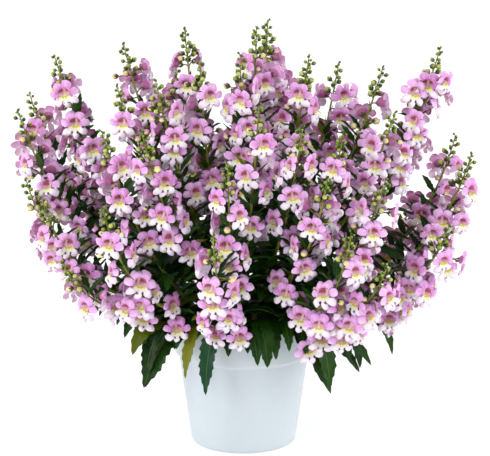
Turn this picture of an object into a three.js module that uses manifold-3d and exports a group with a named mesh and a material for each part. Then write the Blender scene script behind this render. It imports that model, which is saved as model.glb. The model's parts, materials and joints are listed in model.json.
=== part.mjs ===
// A potted angelonia: a pale plastic pot, its soil, leafy green stems that stand in plain holes in
// the soil, and a flower spike on the end of every branch. Millimetres, +Z up, the front is -Y, and
// the origin is the centre of the pot's underside.

import * as THREE from 'three';
import { mergeVertices } from 'three/addons/utils/BufferGeometryUtils.js';
import Module from 'manifold-3d';

const wasm = await Module();
wasm.setup();

const degree = Math.PI / 180;
const upward = new THREE.Vector3(0, 0, 1);
const east = new THREE.Vector3(1, 0, 0);
const north = new THREE.Vector3(0, 1, 0);

// Pot and soil
const potHeight = 120;
const rimRadius = 66.5;
const rimBandHeight = 32;
const bodyTopRadius = 61.8;
const bodyBottomRadius = 49.9;
const bottomRounding = 4;
const potWall = 2;
const potFloor = 3;
const rimTaper = 0.7;
const soilBelowRim = 10;
const seatGap = 0.3;
const potSides = 32;
const soilSides = 24;

// Stems, branches and the axes of the spikes
const stemRadius = 3;
const branchRadius = 2;
const axisRadius = 1.6;
const tipRadius = 0.9;
const stemSides = 5;
const rootDepth = 25;
const holeRoom = 0.45;
const collarAboveSoil = 2;
const innerRoot = 30;
const innerSpread = 1.1;
const outerSpread = 1.25;
const lowForkHeight = 131;
const highForkHeight = 150;
const trunkOvershoot = 1.3;
const branchSunk = 0.3;
const branchStart = 14;
const spikeLength = 150;
const spikeShare = 0.78;
const budZone = 37;
const headLength = 9;
const headWidest = 4;
const headRadius = 2.2;
const axisSides = 3;
const axisPieces = 3;
const branchPieces = 1;

// Blooms and buds
const bloomRadius = 12.8;
const bloomReach = 14;
const bloomSpacing = 16.4;
const bloomLevels = 8;
const goldenAngle = 137.5;
const notchDepth = 2;
const neckBack = 6.5;
const neckRadius = 0.9;
const budsPerSpike = 3;
const budReach = 8;
const budRadius = 2.6;
const budPoint = 2.2;

// Leaves
const leafLength = 56;
const leafWidth = 15;
const leafKeel = 1.1;
const leavesPerStem = 3;
const hangingKeel = 1.3;
const stalkShare = 0.3;
const archHeight = 160;

// Least room left between the blooms, leaves and stems of different nodes
const clearRoom = 0.5;

// Where each stem stands in the soil (distance from the middle, bearing in degrees from +X) and the
// tips of its spikes. The whole bush measures about 430 across, 350 from front to back and 404 high.
const stems = [
  { name: 'left', root: [34, 186], tips: [[-203, -18, 261], [-212, 18, 318], [-185, -66, 255]] },
  { name: 'left_back', root: [36, 158], tips: [[-204, 62, 325], [-176, 4, 373], [-168, 104, 275]] },
  { name: 'front_left', root: [38, 222], tips: [[-126, -134, 262], [-128, -90, 322], [-165, -98, 202]] },
  { name: 'left_middle', root: [20, 235], tips: [[-91, -116, 328], [-116, -48, 355], [-80, -72, 366]] },
  { name: 'top_left', root: [18, 165], tips: [[-113, 34, 378], [-55, 16, 396], [-40, -60, 382]] },
  { name: 'front', root: [40, 262], tips: [[-27, -166, 244], [-14, -150, 306], [14, -118, 352]] },
  { name: 'middle', root: [5, 290], tips: [[-3, -66, 388], [12, -14, 404], [23, 42, 399]] },
  { name: 'front_right', root: [22, 296], tips: [[53, -123, 333], [75, -144, 292], [60, -46, 383]] },
  { name: 'right_front', root: [40, 304], tips: [[96, -156, 244], [130, -142, 214], [128, -116, 284]] },
  { name: 'right_middle', root: [22, 344], tips: [[90, -112, 325], [130, 6, 362], [139, -54, 332]] },
  { name: 'right', root: [38, 350], tips: [[183, 2, 381], [214, 6, 279], [189, -70, 230], [202, 52, 286]] },
  {
    name: 'back_right',
    root: [34, 48],
    tips: [[122, 122, 300], [168, 108, 214], [62, 150, 330], [91, 70, 353]],
  },
  { name: 'back', root: [28, 92], tips: [[-12, 172, 305], [22, 104, 374], [18, 186, 222]] },
  { name: 'back_left', root: [34, 128], tips: [[-92, 142, 322], [-138, 142, 222], [-66, 90, 349]] },
];

// Large leaves that arch over the rim and hang: stem, tip, greatest width, and how far the blade has
// rolled over at its tip, in degrees.
const hangingLeaves = [
  { stem: 'front_left', tip: [-92, -42, 90], width: 20, roll: -55 },
  { stem: 'front_left', tip: [-91, -62, 70], width: 16, roll: -45 },
  { stem: 'front_left', tip: [-118, -52, 127], width: 14, roll: -40 },
  { stem: 'left', tip: [-136, -18, 126], width: 14, roll: -45 },
  { stem: 'left', tip: [-104, 12, 92], width: 16, roll: -30 },
  { stem: 'front', tip: [-54, -80, 84], width: 14, roll: -15 },
  { stem: 'front', tip: [-35, -92, 72], width: 17, roll: 0 },
  { stem: 'front', tip: [22, -97, 100], width: 19, roll: 10 },
  { stem: 'right_front', tip: [42, -92, 114], width: 14, roll: 0 },
  { stem: 'right_front', tip: [80, -80, 74], width: 22, roll: 20 },
  { stem: 'right_front', tip: [99, -69, 98], width: 13, roll: 45 },
  { stem: 'right_front', tip: [109, -50, 85], width: 17, roll: 55 },
  { stem: 'right', tip: [140, -30, 92], width: 14, roll: 50 },
  { stem: 'right', tip: [104, 20, 84], width: 18, roll: 30 },
  { stem: 'back_right', tip: [72, 74, 72], width: 19, roll: 20 },
  { stem: 'back_right', tip: [100, 50, 94], width: 15, roll: -20 },
  { stem: 'back', tip: [14, 99, 74], width: 18, roll: 0 },
  { stem: 'back', tip: [-24, 97, 92], width: 15, roll: 15 },
  { stem: 'back_left', tip: [-68, 78, 72], width: 19, roll: -20 },
  { stem: 'left_back', tip: [-96, 46, 84], width: 17, roll: 25 },
];

// One seeded sequence serves every draw, in the order in which the plant is laid out.
let seed = 20417;
function draw(low, high) {
  seed = (Math.imul(seed, 1664525) + 1013904223) >>> 0;
  return low + ((high - low) * seed) / 4294967296;
}

function vector(x, y, z) {
  return new THREE.Vector3(x, y, z);
}

// A bend from start to end in an upright plane: it leaves outward and turns up, or down, near the end.
function bend(start, end, outShare, riseShare) {
  const steps = 48;
  const middle = vector(
    start.x + (end.x - start.x) * outShare,
    start.y + (end.y - start.y) * outShare,
    start.z + (end.z - start.z) * riseShare,
  );
  const points = [];
  const lengths = [0];
  for (let i = 0; i <= steps; i += 1) {
    const t = i / steps;
    const point = vector(0, 0, 0);
    point.addScaledVector(start, (1 - t) * (1 - t));
    point.addScaledVector(middle, 2 * t * (1 - t));
    point.addScaledVector(end, t * t);
    points.push(point);
    if (i > 0) {
      lengths.push(lengths[i - 1] + point.distanceTo(points[i - 1]));
    }
  }
  const side = vector(-(end.y - start.y), end.x - start.x, 0).normalize();
  return { points, lengths, length: lengths[steps], side };
}

// The point and the direction at a distance along a bend.
function along(curve, distance) {
  let i = 1;
  while (i < curve.points.length - 1 && curve.lengths[i] < distance) {
    i += 1;
  }
  const direction = curve.points[i].clone().sub(curve.points[i - 1]).normalize();
  const point = curve.points[i - 1].clone().addScaledVector(direction, distance - curve.lengths[i - 1]);
  return { point, direction };
}

// The bodies of a branch and of its spike are straight between a few rings. This is the middle of
// that body at a distance along the bend, where a stalk or a leaf takes root.
function rootPoint(spike, distance) {
  const onBranch = distance < spike.foot;
  const from = onBranch ? spike.start : spike.foot + seatGap;
  const to = onBranch ? spike.foot : spike.curve.length - headLength;
  const pieces = onBranch ? branchPieces : axisPieces;
  const place = (Math.max(0, (distance - from) / (to - from))) * pieces;
  const piece = Math.min(pieces - 1, Math.floor(place));
  const low = along(spike.curve, from + ((to - from) * piece) / pieces).point;
  const high = along(spike.curve, from + ((to - from) * (piece + 1)) / pieces).point;
  return low.lerp(high, place - piece);
}

// The spheres that stand for what is already placed, each with the node it belongs to. Those of one
// node may meet, except where they are shared: blooms and buds keep clear of their own spike's too.
const taken = [];

function isClear(spheres, node) {
  for (const [point, radius] of spheres) {
    const aside = Math.hypot(point.x, point.y) > rimRadius + radius + 2;
    if (!aside && point.z < potHeight + radius + 2) {
      return false;
    }
    for (const other of taken) {
      if (other.node === node && !other.shared) {
        continue;
      }
      const room = other.node === node ? 0 : clearRoom;
      if (point.distanceTo(other.point) < radius + other.radius + room) {
        return false;
      }
    }
  }
  return true;
}

function take(spheres, node, shared) {
  for (const [point, radius] of spheres) {
    taken.push({ point, radius, node, shared });
  }
}

function spheresAlong(curve, from, to, step, radius) {
  const spheres = [];
  for (let distance = from; distance <= to; distance += step) {
    spheres.push([along(curve, distance).point, radius]);
  }
  return spheres;
}

// Outline of a bloom from its top round to the right: angle from the top and share of the radius.
// Two upper lobes with a notch between them, two side lobes and the lower lip.
const bloomOutline = [
  [0, 0.78],
  [30, 0.98],
  [62, 0.55],
  [95, 1],
  [130, 0.56],
  [180, 1],
  [230, 0.56],
  [265, 1],
  [298, 0.55],
  [330, 0.98],
];

// A bloom's place: where it faces, which way is its top, and where its stalk leaves the axis.
function bloomPlace(spike, distance, turn, reach, nod, roll, size) {
  const { point, direction } = along(spike.curve, distance);
  const root = rootPoint(spike, distance);
  const heading = spike.heading + turn;
  const level = vector(Math.cos(heading), Math.sin(heading), 0);
  const out = level.clone().addScaledVector(direction, -0.8 * direction.dot(level));
  out.addScaledVector(upward, 0.12).normalize();
  const face = level.clone().addScaledVector(upward, nod).normalize();
  const centre = point.clone().addScaledVector(out, reach);
  const top = upward.clone().addScaledVector(face, -face.z).normalize();
  const right = top.clone().cross(face);
  const lean = Math.sin(roll);
  const crown = top.clone().multiplyScalar(Math.cos(roll)).addScaledVector(right, lean);
  const side = right.clone().multiplyScalar(Math.cos(roll)).addScaledVector(top, -lean);
  return { root, centre, face, top: crown, side, size };
}

function bloomSpheres(place) {
  const { root, centre, face, top, side, size } = place;
  const neck = centre.clone().addScaledVector(face, -neckBack);
  const spheres = [
    [centre.clone().addScaledVector(face, -3), 4 * size],
    [neck, 1.6],
    [neck.clone().lerp(root, 0.4), 1.2],
  ];
  for (const angle of [30, 95, 150, 210, 265, 330]) {
    const x = Math.sin(angle * degree);
    const z = Math.cos(angle * degree);
    for (const [share, radius] of [[0.58, 3.3], [0.88, 1.9]]) {
      const point = centre.clone().addScaledVector(side, x * share * bloomRadius * size);
      point.addScaledVector(top, z * share * bloomRadius * size);
      spheres.push([point, radius * size]);
    }
  }
  return spheres;
}

// Every stem forks above the soil, and each branch bends from the fork to the tip of its spike.
function layOutStem(row) {
  const [distance, bearing] = row.root;
  const x = distance * Math.cos(bearing * degree);
  const y = distance * Math.sin(bearing * degree);
  const soilTop = potHeight - soilBelowRim;
  const root = vector(x, y, soilTop - rootDepth);
  const collar = vector(x, y, soilTop + collarAboveSoil);
  const inner = distance < innerRoot;
  const spread = inner ? innerSpread : outerSpread;
  const fork = vector(x * spread, y * spread, inner ? highForkHeight : lowForkHeight);
  const stem = { name: `stem_${row.name}`, root, collar, fork, spikes: [], leaves: [] };
  row.tips.forEach((tip, index) => {
    const end = vector(...tip);
    const lean = Math.hypot(end.x - fork.x, end.y - fork.y) / (end.z - fork.z);
    const lowness = Math.min(1, Math.max(0, (lean - 0.4) / 0.9));
    const curve = bend(fork, end, 0.6 + 0.24 * lowness, 0.36 - 0.28 * lowness);
    const length = Math.min(spikeLength, spikeShare * curve.length);
    stem.spikes.push({
      name: `spike_${row.name}_${index + 1}`,
      curve,
      foot: curve.length - length,
      start: Math.min(branchStart, 0.4 * (curve.length - length)),
      heading: Math.atan2(end.y, end.x),
      blooms: [],
      buds: [],
    });
  });
  return stem;
}

const plant = stems.map(layOutStem);
const spikes = plant.flatMap((stem) => stem.spikes);

for (const stem of plant) {
  const trunk = bend(stem.collar, stem.fork, 0.5, 0.5);
  take(spheresAlong(trunk, 0, trunk.length, 3, stemRadius), stem.name, false);
  for (const spike of stem.spikes) {
    take(spheresAlong(spike.curve, 0, spike.foot, 3, branchRadius + 0.5), stem.name, false);
    take(spheresAlong(spike.curve, spike.foot, spike.curve.length, 3, axisRadius + 0.5), spike.name, false);
  }
}

// Each hanging leaf leaves its stem below the fork and arches over the rim.
for (const row of hangingLeaves) {
  const stem = plant.find((one) => one.name === `stem_${row.stem}`);
  const tip = vector(...row.tip);
  const start = stem.collar.clone().lerp(stem.fork, 0.25 + 0.2 * stem.leaves.length);
  const curve = bend(start, tip, 0.94, (archHeight - start.z) / (tip.z - start.z));
  const from = curve.length * stalkShare;
  stem.leaves.push({ curve, from, width: row.width, roll: row.roll, hanging: true });
  take(spheresAlong(curve, from, curve.length, 4, row.width * 0.32), stem.name, false);
}

// Buds round the top of each spike, smaller towards the tip.
for (const spike of spikes) {
  const turn = draw(0, 360);
  for (let i = 0; i < budsPerSpike; i += 1) {
    const share = (i + 0.5) / budsPerSpike;
    const distance = spike.curve.length - budZone * (1 - share * 0.86);
    const heading = spike.heading + (turn + i * goldenAngle) * degree;
    const { point, direction } = along(spike.curve, distance);
    const out = vector(Math.cos(heading), Math.sin(heading), 0);
    out.addScaledVector(direction, 0.55 - direction.dot(out)).normalize();
    const size = 1.15 - 0.55 * share;
    const centre = point.clone().addScaledVector(out, budReach * (1.1 - 0.4 * share));
    const spheres = [[centre, budRadius * size]];
    if (isClear(spheres, spike.name)) {
      take(spheres, spike.name, true);
      spike.buds.push({ root: rootPoint(spike, distance), centre, out, size });
    }
  }
}

// Blooms go down each spike in turn, level by level, and shift round or along where one is crowded.
const shifts = [
  [0, 0, 0],
  [24, 0, 0],
  [-24, 0, 0],
  [46, 3, 0],
  [-46, -3, 0],
  [12, 4, 4],
  [-12, -4, -3],
  [72, 0, 2],
  [-72, 0, -3],
  [100, 4, 4],
  [-100, -4, 4],
];

spikes.forEach((spike, index) => {
  spike.phase = (index * 97) % 360;
});
for (let level = 0; level < bloomLevels; level += 1) {
  for (const spike of spikes) {
    const nod = draw(-0.16, 0.14);
    const roll = draw(-12, 12) * degree;
    const size = draw(0.92, 1.06);
    const distance = spike.curve.length - budZone - level * bloomSpacing - draw(-2, 2);
    const golden = (spike.phase + level * goldenAngle) % 360;
    for (const [turnShift, slide, push] of shifts) {
      const at = distance + slide;
      if (at < spike.foot + 6) {
        continue;
      }
      const turn = ((golden - 180) * 0.66 + turnShift) * degree;
      const place = bloomPlace(spike, at, turn, bloomReach + push, nod, roll, size);
      const spheres = bloomSpheres(place);
      if (isClear(spheres, spike.name)) {
        take(spheres, spike.name, true);
        spike.blooms.push(place);
        break;
      }
    }
  }
}

// Smaller leaves stand on the branches below the spikes, where there is room for them.
for (const stem of plant) {
  for (let i = 0; i < leavesPerStem; i += 1) {
    const spike = stem.spikes[i % stem.spikes.length];
    const distance = spike.start + draw(0.05, 0.9) * (spike.foot - spike.start);
    const width = leafWidth * draw(0.85, 1.15);
    const length = leafLength * draw(0.85, 1.15);
    const first = draw(0, 360);
    for (let attempt = 0; attempt < 18; attempt += 1) {
      const heading = (first + attempt * 20) * degree;
      const point = rootPoint(spike, distance);
      const tip = vector(
        point.x + Math.cos(heading) * length * 0.9,
        point.y + Math.sin(heading) * length * 0.9,
        point.z + length * 0.05,
      );
      const curve = bend(point, tip, 0.5, 8);
      const spheres = spheresAlong(curve, 9, curve.length, 4, width * 0.38);
      if (isClear(spheres, stem.name)) {
        take(spheres, stem.name, true);
        stem.leaves.push({ curve, from: 0, width, roll: 0, hanging: false });
        break;
      }
    }
  }
}

// The two ways to close the first ring of a body: a plain fan, or a star whose odd corners are tips.
function plainCap(count) {
  const triangles = [];
  for (let i = 2; i < count; i += 1) {
    triangles.push(0, i, i - 1);
  }
  return triangles;
}

function starCap(count) {
  const triangles = [];
  for (let tip = 1; tip < count; tip += 2) {
    triangles.push(tip - 1, (tip + 1) % count, tip);
  }
  for (let i = 4; i < count; i += 2) {
    triangles.push(0, i, i - 2);
  }
  return triangles;
}

// A closed body stretched over rings of points that all run the same way round. A ring of one point
// is a tip, and a larger first or last ring is closed flat.
function loft(rings, firstCap = plainCap) {
  const positions = [];
  const triangles = [];
  const starts = [];
  for (const ring of rings) {
    starts.push(positions.length / 3);
    ring.forEach((point) => positions.push(point.x, point.y, point.z));
  }
  for (let k = 0; k + 1 < rings.length; k += 1) {
    const n = rings[k].length;
    const m = rings[k + 1].length;
    const stepsHere = n === 1 ? 0 : n;
    const stepsNext = m === 1 ? 0 : m;
    let i = 0;
    let j = 0;
    while (i < stepsHere || j < stepsNext) {
      const here = starts[k] + (i % n);
      const next = starts[k + 1] + (j % m);
      const turnHere = j === stepsNext || (i < stepsHere && (i + 1) / n <= (j + 1) / m);
      if (turnHere) {
        i += 1;
        triangles.push(here, starts[k] + (i % n), next);
      } else {
        j += 1;
        triangles.push(here, starts[k + 1] + (j % m), next);
      }
    }
  }
  const last = rings.length - 1;
  triangles.push(...firstCap(rings[0].length));
  for (let i = 2; i < rings[last].length; i += 1) {
    triangles.push(starts[last], starts[last] + i - 1, starts[last] + i);
  }
  return solidFrom(positions, triangles);
}

function solidFrom(positions, triangles) {
  const corner = (index) => vector(...positions.slice(3 * index, 3 * index + 3));
  let volume = 0;
  for (let i = 0; i < triangles.length; i += 3) {
    const a = corner(triangles[i]);
    const b = corner(triangles[i + 1]);
    const c = corner(triangles[i + 2]);
    volume += a.dot(b.cross(c));
  }
  if (volume < 0) {
    triangles.reverse();
  }
  const mesh = new wasm.Mesh({
    numProp: 3,
    vertProperties: new Float32Array(positions),
    triVerts: new Uint32Array(triangles),
  });
  return new wasm.Manifold(mesh);
}

function solidFromGeometry(geometry) {
  geometry.deleteAttribute('normal');
  geometry.deleteAttribute('uv');
  const merged = mergeVertices(geometry, 0.0001);
  return solidFrom(Array.from(merged.attributes.position.array), Array.from(merged.index.array));
}

function ring(centre, a, b, sides, radiusA, radiusB) {
  const points = [];
  for (let i = 0; i < sides; i += 1) {
    const angle = (2 * Math.PI * i) / sides;
    const point = centre.clone().addScaledVector(a, Math.cos(angle) * radiusA);
    points.push(point.addScaledVector(b, Math.sin(angle) * radiusB));
  }
  return points;
}

function tube(curve, from, to, pieces, radiusFrom, radiusTo, sides) {
  const rings = [];
  for (let i = 0; i <= pieces; i += 1) {
    const share = i / pieces;
    const { point, direction } = along(curve, from + (to - from) * share);
    const radius = radiusFrom + (radiusTo - radiusFrom) * share;
    rings.push(ring(point, direction.clone().cross(curve.side), curve.side, sides, radius, radius));
  }
  return rings;
}

// A leaf is a thin arched blade: flat above, keeled below, widest before its middle and toothed.
// Each row of the outline is the share of the length and the share of the half width.
const smallLeafOutline = [
  [0.18, 0.35],
  [0.45, 1],
  [0.78, 0.6],
];
const hangingLeafOutline = [
  [0.12, 0.3],
  [0.4, 1],
  [0.47, 0.78],
  [0.7, 0.76],
  [0.77, 0.46],
];

function leafSolid(leaf) {
  const { curve, from, width, roll, hanging } = leaf;
  const length = curve.length - from;
  const keel = hanging ? hangingKeel : leafKeel;
  const rings = [[curve.points[0]]];
  for (const [share, spread] of hanging ? hangingLeafOutline : smallLeafOutline) {
    const { point, direction } = along(curve, from + length * share);
    const side = curve.side.clone().applyAxisAngle(direction, roll * share * degree);
    const over = direction.clone().cross(side);
    const half = (width / 2) * spread;
    rings.push([
      point.clone().addScaledVector(side, half),
      point.clone().addScaledVector(over, -keel),
      point.clone().addScaledVector(side, -half),
    ]);
  }
  rings.push([curve.points[curve.points.length - 1]]);
  return loft(rings);
}

function bloomSolid(place) {
  const { root, centre, face, top, side, size } = place;
  const outline = bloomOutline.map(([angle, share]) => {
    const reach = share * bloomRadius * size;
    const back = share < 0.7 ? -notchDepth : 0;
    const point = centre.clone().addScaledVector(side, Math.sin(angle * degree) * reach);
    point.addScaledVector(top, Math.cos(angle * degree) * reach);
    return point.addScaledVector(face, back);
  });
  const neckCentre = centre.clone().addScaledVector(face, -neckBack);
  const neck = ring(neckCentre, top, side, 3, neckRadius, neckRadius);
  return loft([outline, neck, [root]], starCap);
}

function budSolid(bud) {
  const { root, centre, out, size } = bud;
  const across = vector(-out.y, out.x, 0).normalize();
  const other = out.clone().cross(across);
  const widest = ring(centre, across, other, 3, budRadius * size, budRadius * size);
  return loft([[root], widest, [centre.clone().addScaledVector(out, budPoint * size)]]);
}

function spikeSolid(spike) {
  const { curve, foot } = spike;
  const end = curve.length;
  const neckEnd = end - headLength;
  const rings = tube(curve, foot + seatGap, neckEnd, axisPieces, axisRadius, tipRadius, axisSides);
  const head = along(curve, end - headWidest);
  const across = head.direction.clone().cross(curve.side);
  rings.push(ring(head.point, across, curve.side, axisSides, headRadius, headRadius));
  rings.push([along(curve, end).point]);
  const parts = [loft(rings), ...spike.buds.map(budSolid), ...spike.blooms.map(bloomSolid)];
  return parts.reduce((whole, part) => whole.add(part));
}

function stemSolid(stem) {
  const trunk = loft([
    ring(stem.root, east, north, stemSides, stemRadius, stemRadius),
    ring(stem.collar, east, north, stemSides, stemRadius, stemRadius),
    [stem.collar.clone().lerp(stem.fork, trunkOvershoot)],
  ]);
  const branches = stem.spikes.map((spike) => {
    const { curve, start, foot } = spike;
    const base = [stem.fork.clone().lerp(stem.collar, branchSunk)];
    return loft([base, ...tube(curve, start, foot, branchPieces, branchRadius, axisRadius, axisSides)]);
  });
  const leaves = stem.leaves.map(leafSolid);
  return [trunk, ...branches, ...leaves].reduce((whole, part) => whole.add(part));
}

function turned(profile, sides) {
  const points = profile.map(([radius, height]) => new THREE.Vector2(radius, height));
  const geometry = new THREE.LatheGeometry(points, sides);
  geometry.rotateX(Math.PI / 2);
  return solidFromGeometry(geometry);
}

// The wall of the pot: half of its section, up the outside and down the inside.
function potSolid() {
  const bandFoot = potHeight - rimBandHeight;
  const edge = bottomRounding * 0.3;
  return turned([
    [0, 0],
    [bodyBottomRadius - bottomRounding, 0],
    [bodyBottomRadius - edge, edge],
    [bodyBottomRadius, bottomRounding],
    [bodyTopRadius, bandFoot - 1],
    [rimRadius - rimTaper, bandFoot + 3],
    [rimRadius, potHeight - 1.5],
    [rimRadius - 1, potHeight],
    [rimRadius - potWall, potHeight - 1],
    [rimRadius - rimTaper - potWall, bandFoot + 3],
    [bodyTopRadius - potWall, bandFoot - 1],
    [bodyBottomRadius - potWall, bottomRounding],
    [bodyBottomRadius - bottomRounding, potFloor],
    [0, potFloor],
  ], potSides);
}

function soilSolid() {
  const bandFoot = potHeight - rimBandHeight;
  const soilTop = potHeight - soilBelowRim;
  const inset = potWall + seatGap + 0.1;
  let soil = turned([
    [0, potFloor + seatGap],
    [bodyBottomRadius - bottomRounding - 1, potFloor + seatGap],
    [bodyBottomRadius - inset - 0.2, bottomRounding + 0.5],
    [bodyTopRadius - inset - 0.2, bandFoot],
    [rimRadius - rimTaper - inset, bandFoot + 4],
    [rimRadius - rimTaper - inset + 0.2, soilTop],
    [0, soilTop],
  ], soilSides);
  const holeRadius = stemRadius + holeRoom;
  for (const stem of plant) {
    const floor = stem.root.clone().add(vector(0, 0, -seatGap));
    const above = vector(stem.root.x, stem.root.y, potHeight);
    const hole = loft([
      ring(floor, east, north, stemSides, holeRadius, holeRadius),
      ring(above, east, north, stemSides, holeRadius, holeRadius),
    ]);
    soil = soil.subtract(hole);
  }
  return soil;
}

const potPlastic = { color: 0xe4ebf1, roughness: 0.42, metalness: 0 };
const darkSoil = { color: 0x2b211a, roughness: 0.95, metalness: 0 };
const leafGreen = { color: 0x2a5216, roughness: 0.45, metalness: 0 };
const petalPink = { color: 0xdb8fd3, roughness: 0.6, metalness: 0 };

const group = new THREE.Group();

function addNode(name, solid, look) {
  const mesh = solid.getMesh();
  const geometry = new THREE.BufferGeometry();
  geometry.setAttribute('position', new THREE.BufferAttribute(mesh.vertProperties, 3));
  geometry.setIndex(new THREE.BufferAttribute(mesh.triVerts, 1));
  geometry.computeVertexNormals();
  const node = new THREE.Mesh(geometry, new THREE.MeshStandardMaterial(look));
  node.name = name;
  group.add(node);
}

addNode('pot', potSolid(), potPlastic);
addNode('soil', soilSolid(), darkSoil);
for (const stem of plant) {
  addNode(stem.name, stemSolid(stem), leafGreen);
}
for (const spike of spikes) {
  addNode(spike.name, spikeSolid(spike), petalPink);
}

export default group;
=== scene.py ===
# The looks of a potted angelonia: the same plant that the frame holds, laid out again by the same rule
# and the same seeded draws, with fine blooms, buds, toothed leaves, soil and pot in its place.
# Lengths are in millimetres while the plant is laid out, and each piece is scaled to metres when made.

import json
import math

import bpy
import numpy as np
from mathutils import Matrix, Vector

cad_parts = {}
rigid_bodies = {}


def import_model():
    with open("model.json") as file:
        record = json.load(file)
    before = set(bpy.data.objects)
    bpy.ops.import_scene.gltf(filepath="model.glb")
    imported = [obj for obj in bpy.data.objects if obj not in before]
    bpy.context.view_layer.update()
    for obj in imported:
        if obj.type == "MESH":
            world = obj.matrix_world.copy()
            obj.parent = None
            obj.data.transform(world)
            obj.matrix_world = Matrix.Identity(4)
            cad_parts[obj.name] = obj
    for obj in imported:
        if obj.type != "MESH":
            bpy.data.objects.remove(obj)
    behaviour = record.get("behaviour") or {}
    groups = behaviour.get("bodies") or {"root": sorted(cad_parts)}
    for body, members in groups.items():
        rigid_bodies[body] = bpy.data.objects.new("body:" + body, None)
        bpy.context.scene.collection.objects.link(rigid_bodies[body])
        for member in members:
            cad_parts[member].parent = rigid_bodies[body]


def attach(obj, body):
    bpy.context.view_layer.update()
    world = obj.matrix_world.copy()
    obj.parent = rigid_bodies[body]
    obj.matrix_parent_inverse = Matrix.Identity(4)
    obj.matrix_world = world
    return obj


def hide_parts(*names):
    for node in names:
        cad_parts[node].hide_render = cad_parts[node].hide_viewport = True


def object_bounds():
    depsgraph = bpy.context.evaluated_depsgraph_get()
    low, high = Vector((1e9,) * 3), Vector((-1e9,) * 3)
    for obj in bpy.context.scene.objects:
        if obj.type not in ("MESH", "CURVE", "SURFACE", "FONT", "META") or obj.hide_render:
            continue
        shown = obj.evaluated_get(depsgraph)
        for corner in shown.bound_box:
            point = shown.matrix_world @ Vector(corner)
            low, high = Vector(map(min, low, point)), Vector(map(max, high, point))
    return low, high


for left_over in list(bpy.data.objects):
    bpy.data.objects.remove(left_over)

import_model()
cad_low, cad_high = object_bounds()

MM = 0.001
DEGREE = math.pi / 180
UP = np.array([0.0, 0.0, 1.0])
BODY = "root"

# Pot and soil
POT_HEIGHT = 120.0
RIM_RADIUS = 66.5
RIM_BAND_HEIGHT = 32.0
BAND_FOOT = POT_HEIGHT - RIM_BAND_HEIGHT
BODY_TOP_RADIUS = 61.8
BODY_BOTTOM_RADIUS = 49.9
BOTTOM_ROUNDING = 4.0
POT_WALL = 2.0
POT_FLOOR = 3.0
RIM_TAPER = 0.7
SOIL_BELOW_RIM = 10.0
SOIL_TOP = POT_HEIGHT - SOIL_BELOW_RIM

# Stems, branches and the axes of the spikes
STEM_RADIUS = 3.0
BRANCH_RADIUS = 2.0
AXIS_RADIUS = 1.6
ROOT_DEPTH = 25.0
COLLAR_ABOVE_SOIL = 2.0
INNER_ROOT = 30.0
INNER_SPREAD = 1.1
OUTER_SPREAD = 1.25
LOW_FORK_HEIGHT = 131.0
HIGH_FORK_HEIGHT = 150.0
BRANCH_START = 14.0
SPIKE_LENGTH = 150.0
SPIKE_SHARE = 0.78
BUD_ZONE = 37.0
HEAD_LENGTH = 9.0
SEAT_GAP = 0.3
AXIS_PIECES = 3
# A branch bends in steps. Its middle lies farther out and less high where it leans out low.
BEND_STEPS = 48
UPRIGHT_LEAN = 0.4
LEAN_RANGE = 0.9
MIDDLE_OUT = 0.6
MIDDLE_UP = 0.36
MORE_OUT_WHEN_LOW = 0.24
LESS_UP_WHEN_LOW = 0.28
BRANCH_START_SHARE = 0.4

# Blooms and buds
BLOOM_RADIUS = 12.8
BLOOM_REACH = 14.0
BLOOM_SPACING = 16.4
BLOOM_LEVELS = 8
GOLDEN_ANGLE = 137.5
NECK_BACK = 6.5
BUDS_PER_SPIKE = 3
BUD_REACH = 8.0
BUD_RADIUS = 2.6

# Leaves
LEAF_LENGTH = 56.0
LEAF_WIDTH = 15.0
LEAVES_PER_STEM = 3
STALK_SHARE = 0.3
ARCH_HEIGHT = 160.0

# Least room between the spheres of different stems and spikes, how far apart the spheres along a bend
# stand, how much wider than an axis they are, and the room kept round the pot
CLEAR_ROOM = 0.5
SPHERE_STEP = 3
AXIS_ROOM = 0.5
POT_ROOM = 2
MOST_SPHERES = 60000

# About one turn in radians, for phases
ONE_TURN = 6.28

# Stem: where it stands in the soil (distance, bearing in degrees) and the tips of its spikes
STEMS = [
    ("left", (34, 186), [(-203, -18, 261), (-212, 18, 318), (-185, -66, 255)]),
    ("left_back", (36, 158), [(-204, 62, 325), (-176, 4, 373), (-168, 104, 275)]),
    ("front_left", (38, 222), [(-126, -134, 262), (-128, -90, 322), (-165, -98, 202)]),
    ("left_middle", (20, 235), [(-91, -116, 328), (-116, -48, 355), (-80, -72, 366)]),
    ("top_left", (18, 165), [(-113, 34, 378), (-55, 16, 396), (-40, -60, 382)]),
    ("front", (40, 262), [(-27, -166, 244), (-14, -150, 306), (14, -118, 352)]),
    ("middle", (5, 290), [(-3, -66, 388), (12, -14, 404), (23, 42, 399)]),
    ("front_right", (22, 296), [(53, -123, 333), (75, -144, 292), (60, -46, 383)]),
    ("right_front", (40, 304), [(96, -156, 244), (130, -142, 214), (128, -116, 284)]),
    ("right_middle", (22, 344), [(90, -112, 325), (130, 6, 362), (139, -54, 332)]),
    ("right", (38, 350), [(183, 2, 381), (214, 6, 279), (189, -70, 230), (202, 52, 286)]),
    ("back_right", (34, 48), [(122, 122, 300), (168, 108, 214), (62, 150, 330), (91, 70, 353)]),
    ("back", (28, 92), [(-12, 172, 305), (22, 104, 374), (18, 186, 222)]),
    ("back_left", (34, 128), [(-92, 142, 322), (-138, 142, 222), (-66, 90, 349)]),
]

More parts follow.
